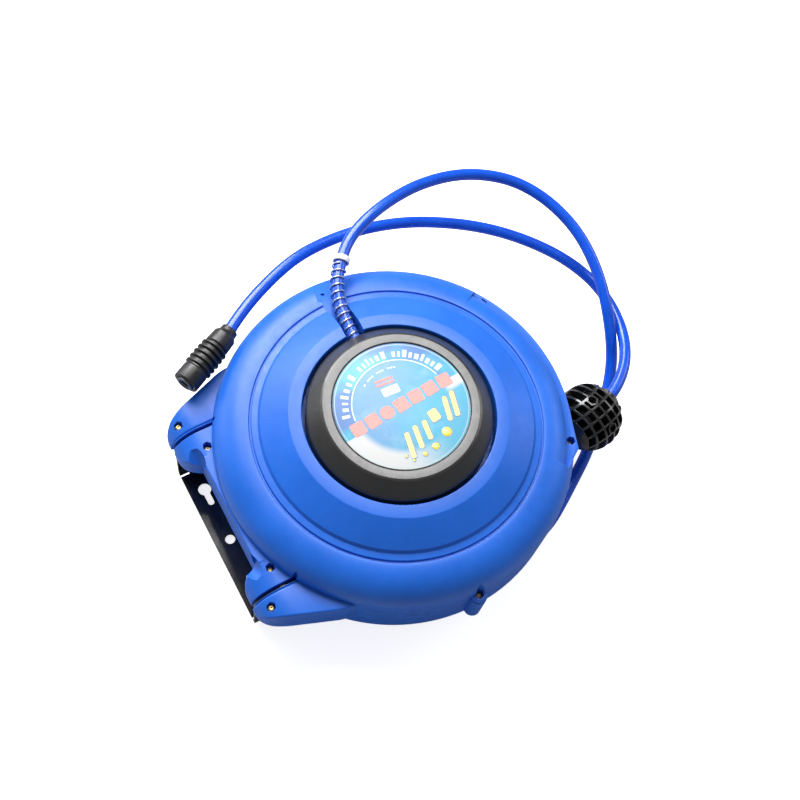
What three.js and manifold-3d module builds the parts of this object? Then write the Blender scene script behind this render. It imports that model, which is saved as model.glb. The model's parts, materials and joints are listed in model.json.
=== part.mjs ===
// Spring-rewind air hose reel, lying on its back.
// Frame: millimetres, +Z up along the drum axis and out of the front cover,
// origin on the drum axis at the plane the reel rests on.
// -X is the side with the swivel wall bracket, +X/-Y the side where the work hose leaves.
import * as THREE from 'three';
import { mergeVertices } from 'three/addons/utils/BufferGeometryUtils.js';
import Module from 'manifold-3d';

const wasm = await Module();
wasm.setup();

// ---------------------------------------------------------------- driving dimensions
const CASE_R = 173;              // outer radius of the casing
const WALL = 3;                  // casing wall
const Z_PART = 64;               // parting plane between the two covers
const PART_GAP = 0.15;           // half of the gap between the covers
const SHOULDER_R = 138;          // where the rounded rim meets the groove
const SHOULDER_DZ = 28;          // half height of the straight side wall
const SHOULDER_H = 26;           // height of the rounded shoulder
const COVER_SEG = 28;            // facets round the covers
const RECESS_R = 90.5;           // round recess in the front cover for the hub cap
const RECESS_FLOOR = 114;
const HUB_R = 87;                // hub cap radius
const HUB_EDGE_Z = 138;
const HUB_TOP_Z = 153;
const LABEL_R = 63;
const PIVOT = { x: -165, z: Z_PART }; // axis of the swivel bracket, along Y
const LUG_X = -193;              // outermost edge of the lugs
const EAR_Y = 84.85;             // mid-plane of each bracket ear
const PLATE = 2.5;               // bracket sheet thickness
const SLIT = 3.7;                // slit in the lugs that takes an ear
const DRUM_R = 150;              // drum flange radius
const CORE_R = 56;               // drum core radius
const REAR_FLANGE = [24, 26.5];  // z of each flange's faces
const FRONT_FLANGE = [100, 102.5];
const CORE_TOP = FRONT_FLANGE[0] - 0.3;
const SHAFT_BASE = 6.3;          // underside of the main shaft
const HOSE_R = 6;                // hose radius
const PACK_R = 104.4;            // outside of the wound hose
const RUN_R = 110.8;             // radius at which the running hose leaves the drum
const PULL_DEG = 15;             // direction in which the hose is drawn, from +X
const BALL_T = 167;              // distance of the ball stopper along the running hose
const BALL_R = 33.9;
const BALL_ROLL = 22.7;          // degrees the ball is rolled about the hose
const SEAT = 28.1;               // flat of the ball facing the outlet, from its centre
const FACE_DEG = -19.8;          // normal of the flat outlet face
const FACE_D = 171.5;            // its distance from the drum axis
const FACE_WALL = 4.7;           // wall behind it
const LEDGE_Z = 100;             // flat ledge round the outlet side of the front cover
const LEDGE_R = 164;             // where the lower shoulder meets it
const LEDGE_DEG = 33.5;          // where it ends, past the outlet
const TEETH = 16;                // ratchet teeth
const PAWL_TRAVEL = 6;           // degrees from engaged to released
const ELBOW_Z = 88;              // axis of the hose elbow inside the drum
const INLET_Z = 126;             // axis of the inlet nipple

// ---------------------------------------------------------------- solid helpers
const { degToRad } = THREE.MathUtils;

function solid(geometry) {
  const bare = new THREE.BufferGeometry();
  bare.setAttribute('position', geometry.attributes.position);
  bare.setIndex(geometry.index);
  const merged = mergeVertices(bare, 1e-4);
  return new wasm.Manifold(new wasm.Mesh({
    numProp: 3,
    vertProperties: new Float32Array(merged.attributes.position.array),
    triVerts: new Uint32Array(merged.index.array),
  }));
}

const cut = (base, ...tools) => tools.reduce((result, tool) => result.subtract(tool), base);
const join = (base, ...others) => others.reduce((result, other) => result.add(other), base);
const both = (a, b) => a.intersect(b);
const turn = (s, degrees) => s.rotate([0, 0, degrees]);
const place = (s, matrix) => s.transform(matrix.toArray());
// a solid together with its mirror image in the plane y = 0
const pair = (s) => join(s, s.mirror([0, 1, 0]));

function cyl(radius, z0, z1, segments = 20, [x, y] = [0, 0]) {
  const g = new THREE.CylinderGeometry(radius, radius, z1 - z0, segments, 1);
  g.rotateX(Math.PI / 2);
  g.translate(x, y, (z0 + z1) / 2);
  return solid(g);
}

function box(x0, x1, y0, y1, z0, z1) {
  const g = new THREE.BoxGeometry(x1 - x0, y1 - y0, z1 - z0);
  g.translate((x0 + x1) / 2, (y0 + y1) / 2, (z0 + z1) / 2);
  return solid(g);
}

function prism(outline, z0, z1) {
  const shape = new THREE.Shape(outline.map(([x, y]) => new THREE.Vector2(x, y)));
  const g = new THREE.ExtrudeGeometry(shape, { depth: z1 - z0, bevelEnabled: false });
  g.translate(0, 0, z0);
  return solid(g);
}

// prism along Y from an XZ outline
const prismY = (outline, y0, y1) =>
  prism(outline, y0, y1).rotate([90, 0, 0]).translate([0, y0 + y1, 0]);

// solid of revolution about Z from (radius, z) points
function lathe(profile, segments) {
  const points = profile.map(([radius, z]) => new THREE.Vector2(radius, z));
  const g = new THREE.LatheGeometry(points, segments);
  g.rotateX(Math.PI / 2);
  const s = solid(g);
  // faces always point out
  return s.volume() < 0 ? lathe(profile.slice().reverse(), segments) : s;
}
const latheClosed = (profile, segments) => lathe([...profile, profile[0]], segments);

// ring of rectangular section
const ring = (inner, outer, z0, z1, segments = 20, [x, y] = [0, 0]) =>
  latheClosed([[inner, z0], [outer, z0], [outer, z1], [inner, z1]], segments)
    .translate([x, y, 0]);

const curveThrough = (points) =>
  new THREE.CatmullRomCurve3(points.map((p) => new THREE.Vector3(...p)), false, 'centripetal');

// round rod along a smooth curve
function sweep(points, radius, sides, steps) {
  const section = new THREE.Shape(Array.from({ length: sides }, (_, i) => {
    const a = (i + 0.5) / sides * 2 * Math.PI;
    return new THREE.Vector2(radius * Math.cos(a), radius * Math.sin(a));
  }));
  const extrudePath = curveThrough(points);
  return solid(new THREE.ExtrudeGeometry(section, { steps, bevelEnabled: false, extrudePath }));
}

// cylinder or cone whose axis runs from start to end
function rod(start, end, radius, segments, endRadius = radius) {
  const a = new THREE.Vector3(...start);
  const b = new THREE.Vector3(...end);
  const g = new THREE.CylinderGeometry(endRadius, radius, a.distanceTo(b), segments, 1);
  const axis = b.clone().sub(a).normalize();
  g.applyQuaternion(new THREE.Quaternion().setFromUnitVectors(new THREE.Vector3(0, 1, 0), axis));
  g.translate((a.x + b.x) / 2, (a.y + b.y) / 2, (a.z + b.z) / 2);
  return solid(g);
}

const polar = (radius, deg) =>
  [radius * Math.cos(degToRad(deg)), radius * Math.sin(degToRad(deg))];
const polarOutline = (rows, offset = 0) => rows.map(([r, deg]) => polar(r, deg + offset));
const thirds = (radius, firstDeg) => [0, 120, 240].map((deg) => polar(radius, firstDeg + deg));

// the same hole along Z at each [x, y] spot
const drill = (base, spots, radius, z0, z1, segments = 12) =>
  cut(base, ...spots.map((spot) => cyl(radius, z0, z1, segments, spot)));

// frame of the running hose, which leaves the drum along a tangent
const pullDir = polar(1, PULL_DEG);
const pullSide = [-pullDir[1], pullDir[0]];
const tangent = [RUN_R * pullDir[1], -RUN_R * pullDir[0]];
const along = (distance, offset = 0) => [
  tangent[0] + distance * pullDir[0] + offset * pullSide[0],
  tangent[1] + distance * pullDir[1] + offset * pullSide[1],
  Z_PART,
];

// ---------------------------------------------------------------- screws
// at: [x, y] of each; top: z of the head; tip: z of the point
const SHAFT_SCREWS = {      // laid out upside down, mirrored in z when added
  at: thirds(17, 0), top: -0.6, tip: -12.5, headR: 4, shankR: 2.1, headH: 2.3,
};
const DRUM_SCREWS = {
  at: thirds(48.5, 90), top: 105.2, tip: 90, headR: 3.6, shankR: 1.9, headH: 2.4,
};
const SPINDLE_SCREWS = {
  at: thirds(17.3, 90), top: 104.6, tip: 94, headR: 2.6, shankR: 1.4, headH: 1.8,
};
const HOUSING_SCREWS = {
  at: thirds(25, 45), top: 119.4, tip: 107, headR: 2.8, shankR: 1.5, headH: 1.8,
};
const BALL_SCREWS = {       // in the frame of the ball
  at: [[-0.5, 17.4], [-0.5, -17.4]], top: 18, tip: -19, headR: 3.2, shankR: 1.8, headH: 2.6,
};
const CASE_SCREW = { headR: 3.2, shankR: 1.85, headH: 2.6 };
const FOOT = [-7, -174];    // boss on the -Y edge
// name, [x, y], top, tip; the outlet screw stops short of the hose
const CASE_SCREWS = [
  ['lug_screw_outer_a', [-180, 98], 82.5, 58],
  ['lug_screw_outer_b', [-180, -98], 82.5, 58],
  ['lug_screw_inner_a', [PIVOT.x, 66], 82.5, 58],
  ['lug_screw_inner_b', [PIVOT.x, -66], 82.5, 58],
  ['outlet_screw', [144.8, -86.5], 92, 77],
  ['foot_screw', FOOT, 82, 48.5],
];

// pan-head screw pointing down, with a hexagon socket
function screw(spot, { top, tip, headR, shankR, headH }) {
  const head = cyl(headR, top - headH, top, 10, spot);
  const shank = cyl(shankR, tip, top - headH + 0.1, 6, spot);
  return cut(join(head, shank), cyl(headR * 0.45, top - headH * 0.6, top + 1, 6, spot));
}

// ---------------------------------------------------------------- casing: shells
// rounded shoulder as (radius, z), from its outer edge up to the groove
function shoulderArc(edgeR, edgeZ, rise, inset, steps) {
  return Array.from({ length: steps + 1 }, (_, i) => {
    const a = (i / steps) * Math.PI / 2;
    return [
      SHOULDER_R + (edgeR - SHOULDER_R - inset) * Math.cos(a),
      edgeZ + (rise - inset) * Math.sin(a),
    ];
  });
}
const SHOULDER_Z = Z_PART + SHOULDER_DZ;
const GROOVE_Z = SHOULDER_Z + SHOULDER_H;
const frontShoulder = (inset, steps) =>
  shoulderArc(CASE_R, SHOULDER_Z, SHOULDER_H, inset, steps);
const rearShoulder = (inset, steps) =>
  frontShoulder(inset, steps).reverse().map(([r, z]) => [r, 2 * Z_PART - z]);
const ledgeShoulder = (inset) =>
  shoulderArc(LEDGE_R, LEDGE_Z, GROOVE_Z - LEDGE_Z, inset, 4);

const frontOuter = lathe([
  [0, Z_PART + PART_GAP], [CASE_R, Z_PART + PART_GAP], ...frontShoulder(0, 5),
  [138.4, 116.2], [136.6, 116.2], [136.2, 118.4], [130.2, 119.2], [128, 122.8],
  [102.5, 136.2], [RECESS_R, 137.2], [RECESS_R, RECESS_FLOOR], [0, RECESS_FLOOR],
], COVER_SEG);
const frontCavity = lathe([
  [0, 60], [CASE_R - WALL, 60], ...frontShoulder(WALL, 3),
  [127, 117], [125, 119.4], [101, 132.2], [94, 134], [RECESS_R + WALL, 133],
  [RECESS_R + WALL, RECESS_FLOOR - WALL], [0, RECESS_FLOOR - WALL],
], COVER_SEG);
const rearOuter = lathe([
  [0, 0], [112, 0], [116, 1.2], [130, 9.2], [138, 10], ...rearShoulder(0, 5),
  [CASE_R, Z_PART - PART_GAP], [0, Z_PART - PART_GAP],
], COVER_SEG);
const rearCavity = lathe([
  [0, WALL], [110, WALL], [114.6, 4.2], [128.6, 12.2], ...rearShoulder(WALL, 3),
  [CASE_R - WALL, 70], [0, 70],
], COVER_SEG);

// ---------------------------------------------------------------- casing: bracket lugs
const NOSE = { reach: 28.5, up: 25.5, down: 12, backX: -90 };
// XY outlines of the lugs on the +Y side
const OUTER_LUG = [
  [-100, 88], [LUG_X, 88], [LUG_X, 94], [-190.5, 100.5], [-184, 107], [-174.7, 112],
  [-135, 126.8], [-113, 134], [-100, 125],
];
const INNER_LUG = [
  [-120, 54], [-172, 54], [-179, 57], [-184.5, 60], [-188.5, 63.5], [-191.5, 68.5],
  [-192, 73], [-192, 82], [-190, 88.2], [-120, 88.2],
];

// two outer and two inner lugs with a wall between, all rounded about the swivel axis
function lugs() {
  const side = [];
  for (let i = 0; i <= 6; i++) {
    const a = degToRad(90 + 30 * i);
    const height = i > 3 ? NOSE.down : NOSE.up;
    side.push([PIVOT.x + NOSE.reach * Math.cos(a), PIVOT.z + height * Math.sin(a)]);
  }
  side.push([NOSE.backX, PIVOT.z - NOSE.down], [NOSE.backX, PIVOT.z + NOSE.up]);
  const plan = pair(join(prism(OUTER_LUG, 30, 100), prism(INNER_LUG, 30, 100)));
  const wall = box(-175, -130, -56, 56, PIVOT.z - 25.5, PIVOT.z + NOSE.up);
  return both(join(plan, wall), prismY(side, -150, 150));
}

// material left inside the casing round the slits
const slitBlocks = pair(box(-200, -136, EAR_Y - 5, EAR_Y + 5, 8, 120));

function slits() {
  const y0 = EAR_Y - SLIT / 2;
  const y1 = EAR_Y + SLIT / 2;
  return pair(join(
    box(-210, -138.9, y0, y1, -20, 66),
    box(-210, -148, y0, y1, 60, 160),
    rod([PIVOT.x, y0, PIVOT.z], [PIVOT.x, y1, PIVOT.z], 26.2, 28),
  ));
}

const pivotPin = (side) =>
  rod([PIVOT.x, side * 71, PIVOT.z], [PIVOT.x, side * 107.5, PIVOT.z], 4, 14);
const pivotBores = () =>
  pair(rod([PIVOT.x, 70.5, PIVOT.z], [PIVOT.x, 108, PIVOT.z], 4.4, 12));

// scoop in an inner lug
const scoop = (side) => rod([-181, side * 65, 93], [-181, side * 49, 82], 9, 12);

// ---------------------------------------------------------------- casing: outlet, ledge, foot
// XY outline of the corner that stands out of the rim beside the flat outlet face
const OUTLET_PLAN = [
  [147.4, -96.9], [164, -50.6], [150, -48], [120, -70], [112, -106], [125.7, -110.8],
  [143.6, -99.3],
];
const OUTLET_BOSS = [144, -85.2];
const outletWall = both(
  turn(box(FACE_D - FACE_WALL, FACE_D, -40.6, 38, 38, 90), FACE_DEG),
  cyl(CASE_R - 0.5, 30, 100, COVER_SEG),
);
const faceCut = turn(box(FACE_D, FACE_D + 40, -60, 60, -10, 150), FACE_DEG);
const mouth = rod(along(118), along(150), 9.2, 14, 11);

// stretch of the rim taken by the ledge; grow 1 widens it for the wall beneath
const ledgeArea = (grow) => prism([
  [80, -70.5 - 3 * grow], [125.7 - 1.4 * grow, -110.8 - 3 * grow],
  [160, -88.8 - 4 * grow], [230, -60], [230, 60],
  polar(210, LEDGE_DEG + 1.2 * grow), polar(90, LEDGE_DEG + 1.2 * grow),
], 80, 130);
const ledgeCut = () => both(latheClosed([
  ...ledgeShoulder(0), [SHOULDER_R, 125], [182, 125], [182, LEDGE_Z],
], COVER_SEG), ledgeArea(0));
const ledgeWall = () => both(latheClosed([
  [LEDGE_R - WALL, LEDGE_Z - WALL], ...ledgeShoulder(WALL),
  [SHOULDER_R, 119], [171, 119], [171, LEDGE_Z - WALL],
], COVER_SEG), ledgeArea(1));
const ledgeSlot = () =>
  turn(box(-0.8, 0.8, -3.2, 3.2, -2.4, 8), 21).translate([146.5, 82.1, LEDGE_Z]);

const footBoss = join(cyl(8.2, 40, 80, 12, FOOT), cyl(6.8, 79, 86, 12, FOOT));
const footCore = (z0, z1) => cyl(11, z0, z1, 12, [FOOT[0], FOOT[1] + 8]);

// everything that stands out of the round covers, between two heights
const outgrowths = join(lugs(), prism(OUTLET_PLAN, 39, LEDGE_Z), footBoss);
const outgrowthsBetween = (z0, z1) => both(outgrowths, box(-250, 250, -250, 250, z0, z1));

// ---------------------------------------------------------------- casing: inlet channel
// XY outlines of the channel that runs from the hub recess out over the +Y rim
const CHANNEL_PLAN = [
  [-9, 84], [9.5, 84], [11.8, 113], [12.6, 130], [12.4, 140], [2, 158], [-7.5, 143],
  [-6.6, 119],
];
const CHANNEL_WALL_PLAN = [
  [-12.5, 80], [12.5, 80], [15.5, 112], [26, 134], [44, 172], [-10, 172], [-13, 143],
  [-10, 119],
];

// flat pad over the channel's outer end: y runs outward and down, x towards +X
const padFrame = (() => {
  const start = new THREE.Vector3(-9.6, 143.4, 117.8);
  const y = new THREE.Vector3(-4.4, 167.4, 106.4).sub(start).normalize();
  const tilt = degToRad(12);
  const z = new THREE.Vector3(Math.cos(tilt), 0, -Math.sin(tilt)).cross(y).normalize();
  const x = y.clone().cross(z);
  return new THREE.Matrix4().makeBasis(x, y, z).setPosition(start);
})();

// ---------------------------------------------------------------- the two covers
function frontCover() {
  const keep = join(
    slitBlocks,
    outletWall,
    both(prism(CHANNEL_WALL_PLAN, 112.6, 140), cyl(CASE_R - 1, 90, 150, COVER_SEG)),
    place(box(-3, 29, -28, 34, -3.2, 0.2), padFrame),
    footCore(60, 92),
    cyl(9, 75, LEDGE_Z - 0.5, 12, OUTLET_BOSS),
    both(ledgeWall(), frontOuter),
  );
  let cover = join(frontOuter, outgrowthsBetween(Z_PART + PART_GAP, 150));
  cover = cut(cover, cut(frontCavity, keep));
  cover = cut(cover, slits(), faceCut, mouth);
  cover = cut(
    cover,
    prism(CHANNEL_PLAN, 115.6, 160),
    place(box(0, 26, -26, 60, 0, 40), padFrame),
    place(cyl(1.6, -2, 2, 12, [7.5, 12.5]), padFrame),
  );
  cover = cut(cover, ledgeCut(), ledgeSlot(), pivotBores(), scoop(1), scoop(-1));
  // hexagonal pockets and clearance holes of the casing screws
  for (const [, spot, top, tip] of CASE_SCREWS) {
    cover = drill(cover, [spot], 4.4, top - 3, 130, 6);
    cover = drill(cover, [spot], 2.2, tip - 1.2, top, 8);
  }
  // collar and bore of the front bush, through the recess floor
  cover = join(cover, ring(16.6, 20, 106, 112));
  cover = cut(cover, cyl(16.6, 100, 120));
  // bosses of the housing screws, under the recess floor
  cover = join(cover, ...HOUSING_SCREWS.at.map((spot) => cyl(3.6, 107.5, 112, 12, spot)));
  return drill(cover, HOUSING_SCREWS.at, 1.9, 107, 116);
}

function rearCover() {
  const keep = join(
    both(slitBlocks, rearOuter),
    outletWall,
    cyl(28, 0, SHAFT_BASE - 0.3, 32),
    footCore(36, 70),
  );
  let cover = join(rearOuter, outgrowthsBetween(0, Z_PART - PART_GAP));
  cover = cut(cover, cut(rearCavity, keep));
  cover = cut(cover, slits(), faceCut, mouth, pivotBores());
  for (const [, spot, , tip] of CASE_SCREWS.filter((row) => row[3] < Z_PART)) {
    cover = drill(cover, [spot], 2.2, tip - 1.5, 70, 8);
  }
  cover = drill(cover, SHAFT_SCREWS.at, 4.6, -2, 3.2, 20);
  cover = drill(cover, SHAFT_SCREWS.at, 2.5, -2, 8);
  // boss for the pawl pin, and the post of the pawl spring
  cover = join(cover, cyl(7, 2, 12, 20, pawlPinAt));
  cover = drill(cover, [pawlPinAt], 2.9, 5, 20, 16);
  return join(cover, cyl(4, 2, 20, 16, polar(116, 20 + pawlSite)));
}

// ---------------------------------------------------------------- shaft and bushes
function mainShaft() {
  const body = join(cyl(24, SHAFT_BASE, SHAFT_BASE + 4), cyl(9, SHAFT_BASE, 70, 32));
  const slot = box(-0.9, 0.9, -12, 12, 34, 80);
  return drill(cut(body, slot), SHAFT_SCREWS.at, 2.5, 5, 12);
}

const frontBush = () => ring(13.4, 16.3, 106, 113.7);
const rearBush = () => join(ring(9.3, 11.9, 19.5, 29), ring(9.3, 16, 19.5, 23.7));

// ---------------------------------------------------------------- drum
const CORE_INNER_R = CORE_R - 3;
const DRUM_BORE_R = 12.2;

// rear flange and core in one piece, with screw bosses inside the core
function drumCore() {
  const [z0, z1] = REAR_FLANGE;
  const body = latheClosed([
    [DRUM_BORE_R, z0], [DRUM_R, z0], [DRUM_R, z1], [CORE_R, z1], [CORE_R, CORE_TOP],
    [CORE_INNER_R, CORE_TOP], [CORE_INNER_R, 28.5], [DRUM_BORE_R, 28.5],
  ], 24);
  const limit = cyl(CORE_R - 1.1, 70, 100, 24);
  const bosses = DRUM_SCREWS.at.map((spot) => both(cyl(5, 76, CORE_TOP, 12, spot), limit));
  const drum = drill(join(body, ...bosses), DRUM_SCREWS.at, 2.2, 88, 110);
  return cut(drum, rod([0, -46, ELBOW_Z], [0, -60, ELBOW_Z], 7, 16));
}

function drumFrontFlange() {
  const flange = ring(13.4, DRUM_R, ...FRONT_FLANGE, 24);
  return drill(drill(flange, DRUM_SCREWS.at, 2.4, 90, 110), SPINDLE_SCREWS.at, 1.9, 94, 106);
}

// one solid for the wound hose, ridged on the outside by a layer of six turns
function woundHose() {
  const pitch = 12.06;
  const innerR = CORE_R + 0.5;
  const valleyR = PACK_R - 6.7;
  const crests = Array.from({ length: 6 }, (_, i) => [PACK_R, 27.2 + pitch * (i + 0.5)]);
  return latheClosed(
    [[innerR, 27], [valleyR, 27], ...crests, [valleyR, 99.4], [innerR, 99.4]],
    24,
  );
}

// ---------------------------------------------------------------- rotary joint
// (radius, z) of the spindle: foot flange, neck, two seal grooves
const SPINDLE_PROFILE = [
  [4, 80], [10, 80], [10, 96.7], [22, 96.7], [22, CORE_TOP], [13, CORE_TOP], [13, 116],
  [9.5, 116], [9.5, 118], [8, 118], [8, 120.2], [9.5, 120.2],
  [9.5, 121.8], [8, 121.8], [8, 124], [9.5, 124], [9.5, 125.5], [4, 125.5],
];

// hollow spindle that turns in the front bush, closed below and bored sideways to the elbow
function swivelSpindle() {
  const body = join(latheClosed(SPINDLE_PROFILE, 14), cyl(9.9, 78, 82));
  const sideBore = rod([0, 0, ELBOW_Z], [0, -14, ELBOW_Z], 3.2, 12);
  return drill(cut(body, sideBore), SPINDLE_SCREWS.at, 1.8, 94, 101);
}

const swivelSeal = (z) => ring(8.3, 9.9, z, z + 1.6, 12);

// the inlet leaves nearly along +Y
const INLET_AIM = [1.4, 97.8, INLET_Z];
const inletAt = (y) => [INLET_AIM[0] / INLET_AIM[1] * y, y, INLET_Z];

// stationary housing with the nipple for the inlet hose
function swivelHousing() {
  const body = join(
    cyl(30, 114.3, 117.3, 16),
    cyl(15, 114.3, 134, 14),
    rod(inletAt(0), inletAt(30), 7.5, 8),
    rod(inletAt(29), inletAt(58), 3.6, 8),
  );
  const bored = cut(
    body,
    cyl(13.5, 100, 116.3, 16),
    cyl(10.3, 100, 130, 16),
    rod(inletAt(0), inletAt(70), 2.4, 6),
  );
  return drill(bored, HOUSING_SCREWS.at, 1.9, 110, 125);
}

// elbow from the spindle towards the drum core wall: tube, barb, hexagon
function drumElbow() {
  const piece = (y0, y1, radius, segments) =>
    rod([0, y0, ELBOW_Z], [0, y1, ELBOW_Z], radius, segments);
  const body = join(
    piece(-10.4, -40, 5, 14),
    piece(-39, -50, 3.6, 14),
    piece(-12, -22, 7.5, 6),
  );
  return cut(body, piece(-9, -52, 2.2, 12));
}

// ---------------------------------------------------------------- mainspring
const SPRING = { turns: 4, stepsPerTurn: 12, innerR: 13, growth: 35.5, strip: 1, startDeg: 90 };

// flat strip wound in a spiral round the shaft
function mainspring() {
  const steps = SPRING.turns * SPRING.stepsPerTurn;
  const spiral = Array.from({ length: steps + 1 }, (_, i) => {
    const k = i / steps;
    return [SPRING.innerR + SPRING.growth * k, 360 * SPRING.turns * k + SPRING.startDeg];
  });
  const outside = spiral.map(([r, deg]) => polar(r + SPRING.strip, deg)).reverse();
  return prism([...polarOutline(spiral), ...outside], 34, 66);
}

const springCover = () => ring(10, 52.4, 72, 74.2);

// ---------------------------------------------------------------- ratchet and pawl
const toothPitch = 360 / TEETH;
// where the pawl sits round the drum: near 200 degrees, a whole number of teeth
const pawlSite = Math.round(200 / toothPitch) * toothPitch;
const PAWL_PIVOT = [98, 33];   // radius, degrees before turning to the site
const pawlPinAt = polar(PAWL_PIVOT[0], PAWL_PIVOT[1] + pawlSite);
// (radius, degrees) of the pawl, engaged
const PAWL_OUTLINE = [
  [72.3, 1.2], [76.3, 1.2], [81, 4], [92, 20], [104, 34], [101, 37], [94, 37], [88, 30],
  [80, 12], [72.6, 6],
];
// (radius, degrees) of the leaf spring and its foot
const LEAF_OUTLINE = [[110.8, 21], [110.2, 21], [104.8, 36], [105.4, 36]];
const LEAF_FOOT_OUTLINE = [[113, 21], [110.2, 21], [110.2, 18.8], [113, 18.8]];

// toothed ring behind the rear flange
function ratchetRing() {
  const outline = [];
  for (let i = 0; i < TEETH; i++) {
    const deg = i * toothPitch;
    outline.push([70, deg], [73, deg + toothPitch * 0.5], [76, deg + toothPitch - 0.01]);
  }
  return cut(prism(polarOutline(outline), 17.5, 23.7), cyl(60, 10, 30));
}

// the pawl swung to its released position
function pawl() {
  const [x, y] = polar(...PAWL_PIVOT);
  const engaged = drill(prism(polarOutline(PAWL_OUTLINE), 18, 23.4), [[x, y]], 2.9, 10, 30, 16);
  const released = turn(engaged.translate([-x, -y, 0]), PAWL_TRAVEL).translate([x, y, 0]);
  return turn(released, pawlSite);
}

const pawlPin = () =>
  join(cyl(2.5, 5.4, 23, 16, pawlPinAt), cyl(5, 12.4, 17.4, 16, pawlPinAt));
const pawlSpring = () => join(
  prism(polarOutline(LEAF_OUTLINE, pawlSite), 18.5, 22.5),
  prism(polarOutline(LEAF_FOOT_OUTLINE, pawlSite), 20.3, 22.5),
);

// ---------------------------------------------------------------- outlet guide and rollers
const ROLLER_T = 96;             // distance of the rollers along the running hose
const ROLLER_R = 7;
const ROLLER_OFFSET = HOSE_R + ROLLER_R + 0.4;
const rollerSpots = [1, -1].map((side) => along(ROLLER_T, side * ROLLER_OFFSET));

const alignToRun = (s) => turn(s, PULL_DEG).translate([...tangent, 0]);

// block inside the casing, behind the outlet wall
function outletGuide() {
  const room = both(
    cyl(CASE_R - WALL - 1, 40, 90, 28),
    turn(box(60, FACE_D - FACE_WALL - 0.6, -90, 90, 40, 90), FACE_DEG),
  );
  let guide = both(alignToRun(box(86, 150, -24, 24, 43, 85)), room);
  guide = cut(
    guide,
    alignToRun(box(70, 160, -8.4, 8.4, 50, 78)),
    cyl(9.6, 74.6, 102, 12, OUTLET_BOSS),
  );
  guide = drill(guide, rollerSpots, ROLLER_R + 1, 49.5, 78.5, 16);
  return drill(guide, rollerSpots, 2.3, 44.5, 90);
}

const rollerPin = (spot) => cyl(2, 44.8, 84, 10, spot);
const guideRoller = (spot) => ring(2.3, ROLLER_R, 50, 78, 14, spot);

// ---------------------------------------------------------------- ball stopper
// two halves clamped on the hose: local x runs along the hose, local z is the screws' axis
const ballFrame = (() => {
  const x = new THREE.Vector3(...pullDir, 0);
  const side = new THREE.Vector3(...pullSide, 0);
  const up = new THREE.Vector3(0, 0, 1);
  const [c, s] = polar(1, BALL_ROLL);
  const y = side.clone().multiplyScalar(c).addScaledVector(up, s);
  const z = side.clone().multiplyScalar(-s).addScaledVector(up, c);
  return new THREE.Matrix4().makeBasis(x, y, z).setPosition(...along(BALL_T));
})();

function ballHalves() {
  const sphere = new THREE.SphereGeometry(BALL_R, 18, 10);
  sphere.rotateX(Math.PI / 2);
  const boreR = HOSE_R + 0.4;
  const ball = cut(
    solid(sphere),
    rod([-45, 0, 0], [1, 0, 0], boreR, 16),
    rod([-4, 0, 0], [42, 0, 0], boreR, 16, 9.8),
  );
  let front = both(ball, box(-50, 50, -50, 50, 0.15, 50));
  front = drill(front, BALL_SCREWS.at, 4.2, 15, 50, 6);
  front = drill(front, BALL_SCREWS.at, 2.1, -10, 40);
  let rear = both(ball, box(-50, 50, -50, 50, -50, -0.15));
  rear = drill(rear, BALL_SCREWS.at, 2.1, -20, 10);
  // the seat is parallel to the outlet face
  const seat = turn(box(-60, -SEAT, -60, 60, -60, 60), FACE_DEG).translate(along(BALL_T));
  return [front, rear].map((half) => cut(place(half, ballFrame), seat));
}

// ---------------------------------------------------------------- work hose
// [x, y, z] along the free loop, from the ball to the coupler
const LOOP_POINTS = [
  along(BALL_T + 2), along(BALL_T + 16), along(BALL_T + 29),
  [228.6, -52.2, 64], [241.1, -44, 63.5], [255.4, -32.5, 62], [267.5, -17.6, 59],
  [277.5, -1.5, 55], [284.8, 17.3, 51.5], [288.9, 36.7, 49.5], [289.5, 56.7, 49],
  [286.4, 76, 49.5], [279.4, 94.8, 51], [269.5, 112.3, 53], [257.4, 129, 55],
  [228.9, 157.7, 60], [194.2, 181.7, 66], [154.3, 200.1, 73], [127.9, 208.4, 78],
  [95, 214.7, 83], [65.4, 216.4, 88], [30.4, 214.9, 92], [0, 209, 96.5],
  [-32, 197, 99.5], [-65, 180.5, 102.5], [-85.2, 168, 103.8], [-98, 159.05, 104],
];

const workHoseRun = () => rod(along(0.2), along(BALL_T - 3), HOSE_R, 14);
const workHoseLoop = () => sweep(LOOP_POINTS, HOSE_R, 6, 40);

// ---------------------------------------------------------------- quick coupler
const couplerStart = new THREE.Vector3(-96.2, 160, 104);
const couplerDir = new THREE.Vector3(-162.6, 124.9, 104).sub(couplerStart).normalize();
const couplerAt = (distance) =>
  couplerStart.clone().addScaledVector(couplerDir, distance).toArray();
// (radius, distance from the hose end): ribbed outside, then stepped inside coming back
const SLEEVE_PROFILE = [
  [8.2, 0], [8.6, 5], [11.6, 9], [12.4, 22], [11, 23.5], [13.2, 26], [11.4, 29],
  [13.2, 32], [11.4, 35], [13.4, 38], [11.6, 41], [13.4, 44], [11.8, 47], [13.4, 50],
  [11.9, 53], [12.9, 55], [12.9, 70],
  [9.1, 70], [9.1, 28.4], [7.5, 28.4], [7.5, 7.2], [6.6, 7.2], [6.6, 0],
];

function couplerBody() {
  const body = join(
    rod(couplerAt(8), couplerAt(30), 7, 18),
    rod(couplerAt(29), couplerAt(72), 8.6, 18),
  );
  return cut(body, rod(couplerAt(50), couplerAt(80), 5, 14));
}

function couplerSleeve() {
  const lean = new THREE.Quaternion().setFromUnitVectors(new THREE.Vector3(0, 0, 1), couplerDir);
  const frame = new THREE.Matrix4().makeRotationFromQuaternion(lean).setPosition(couplerStart);
  return place(latheClosed(SLEEVE_PROFILE, 12), frame);
}

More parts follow.
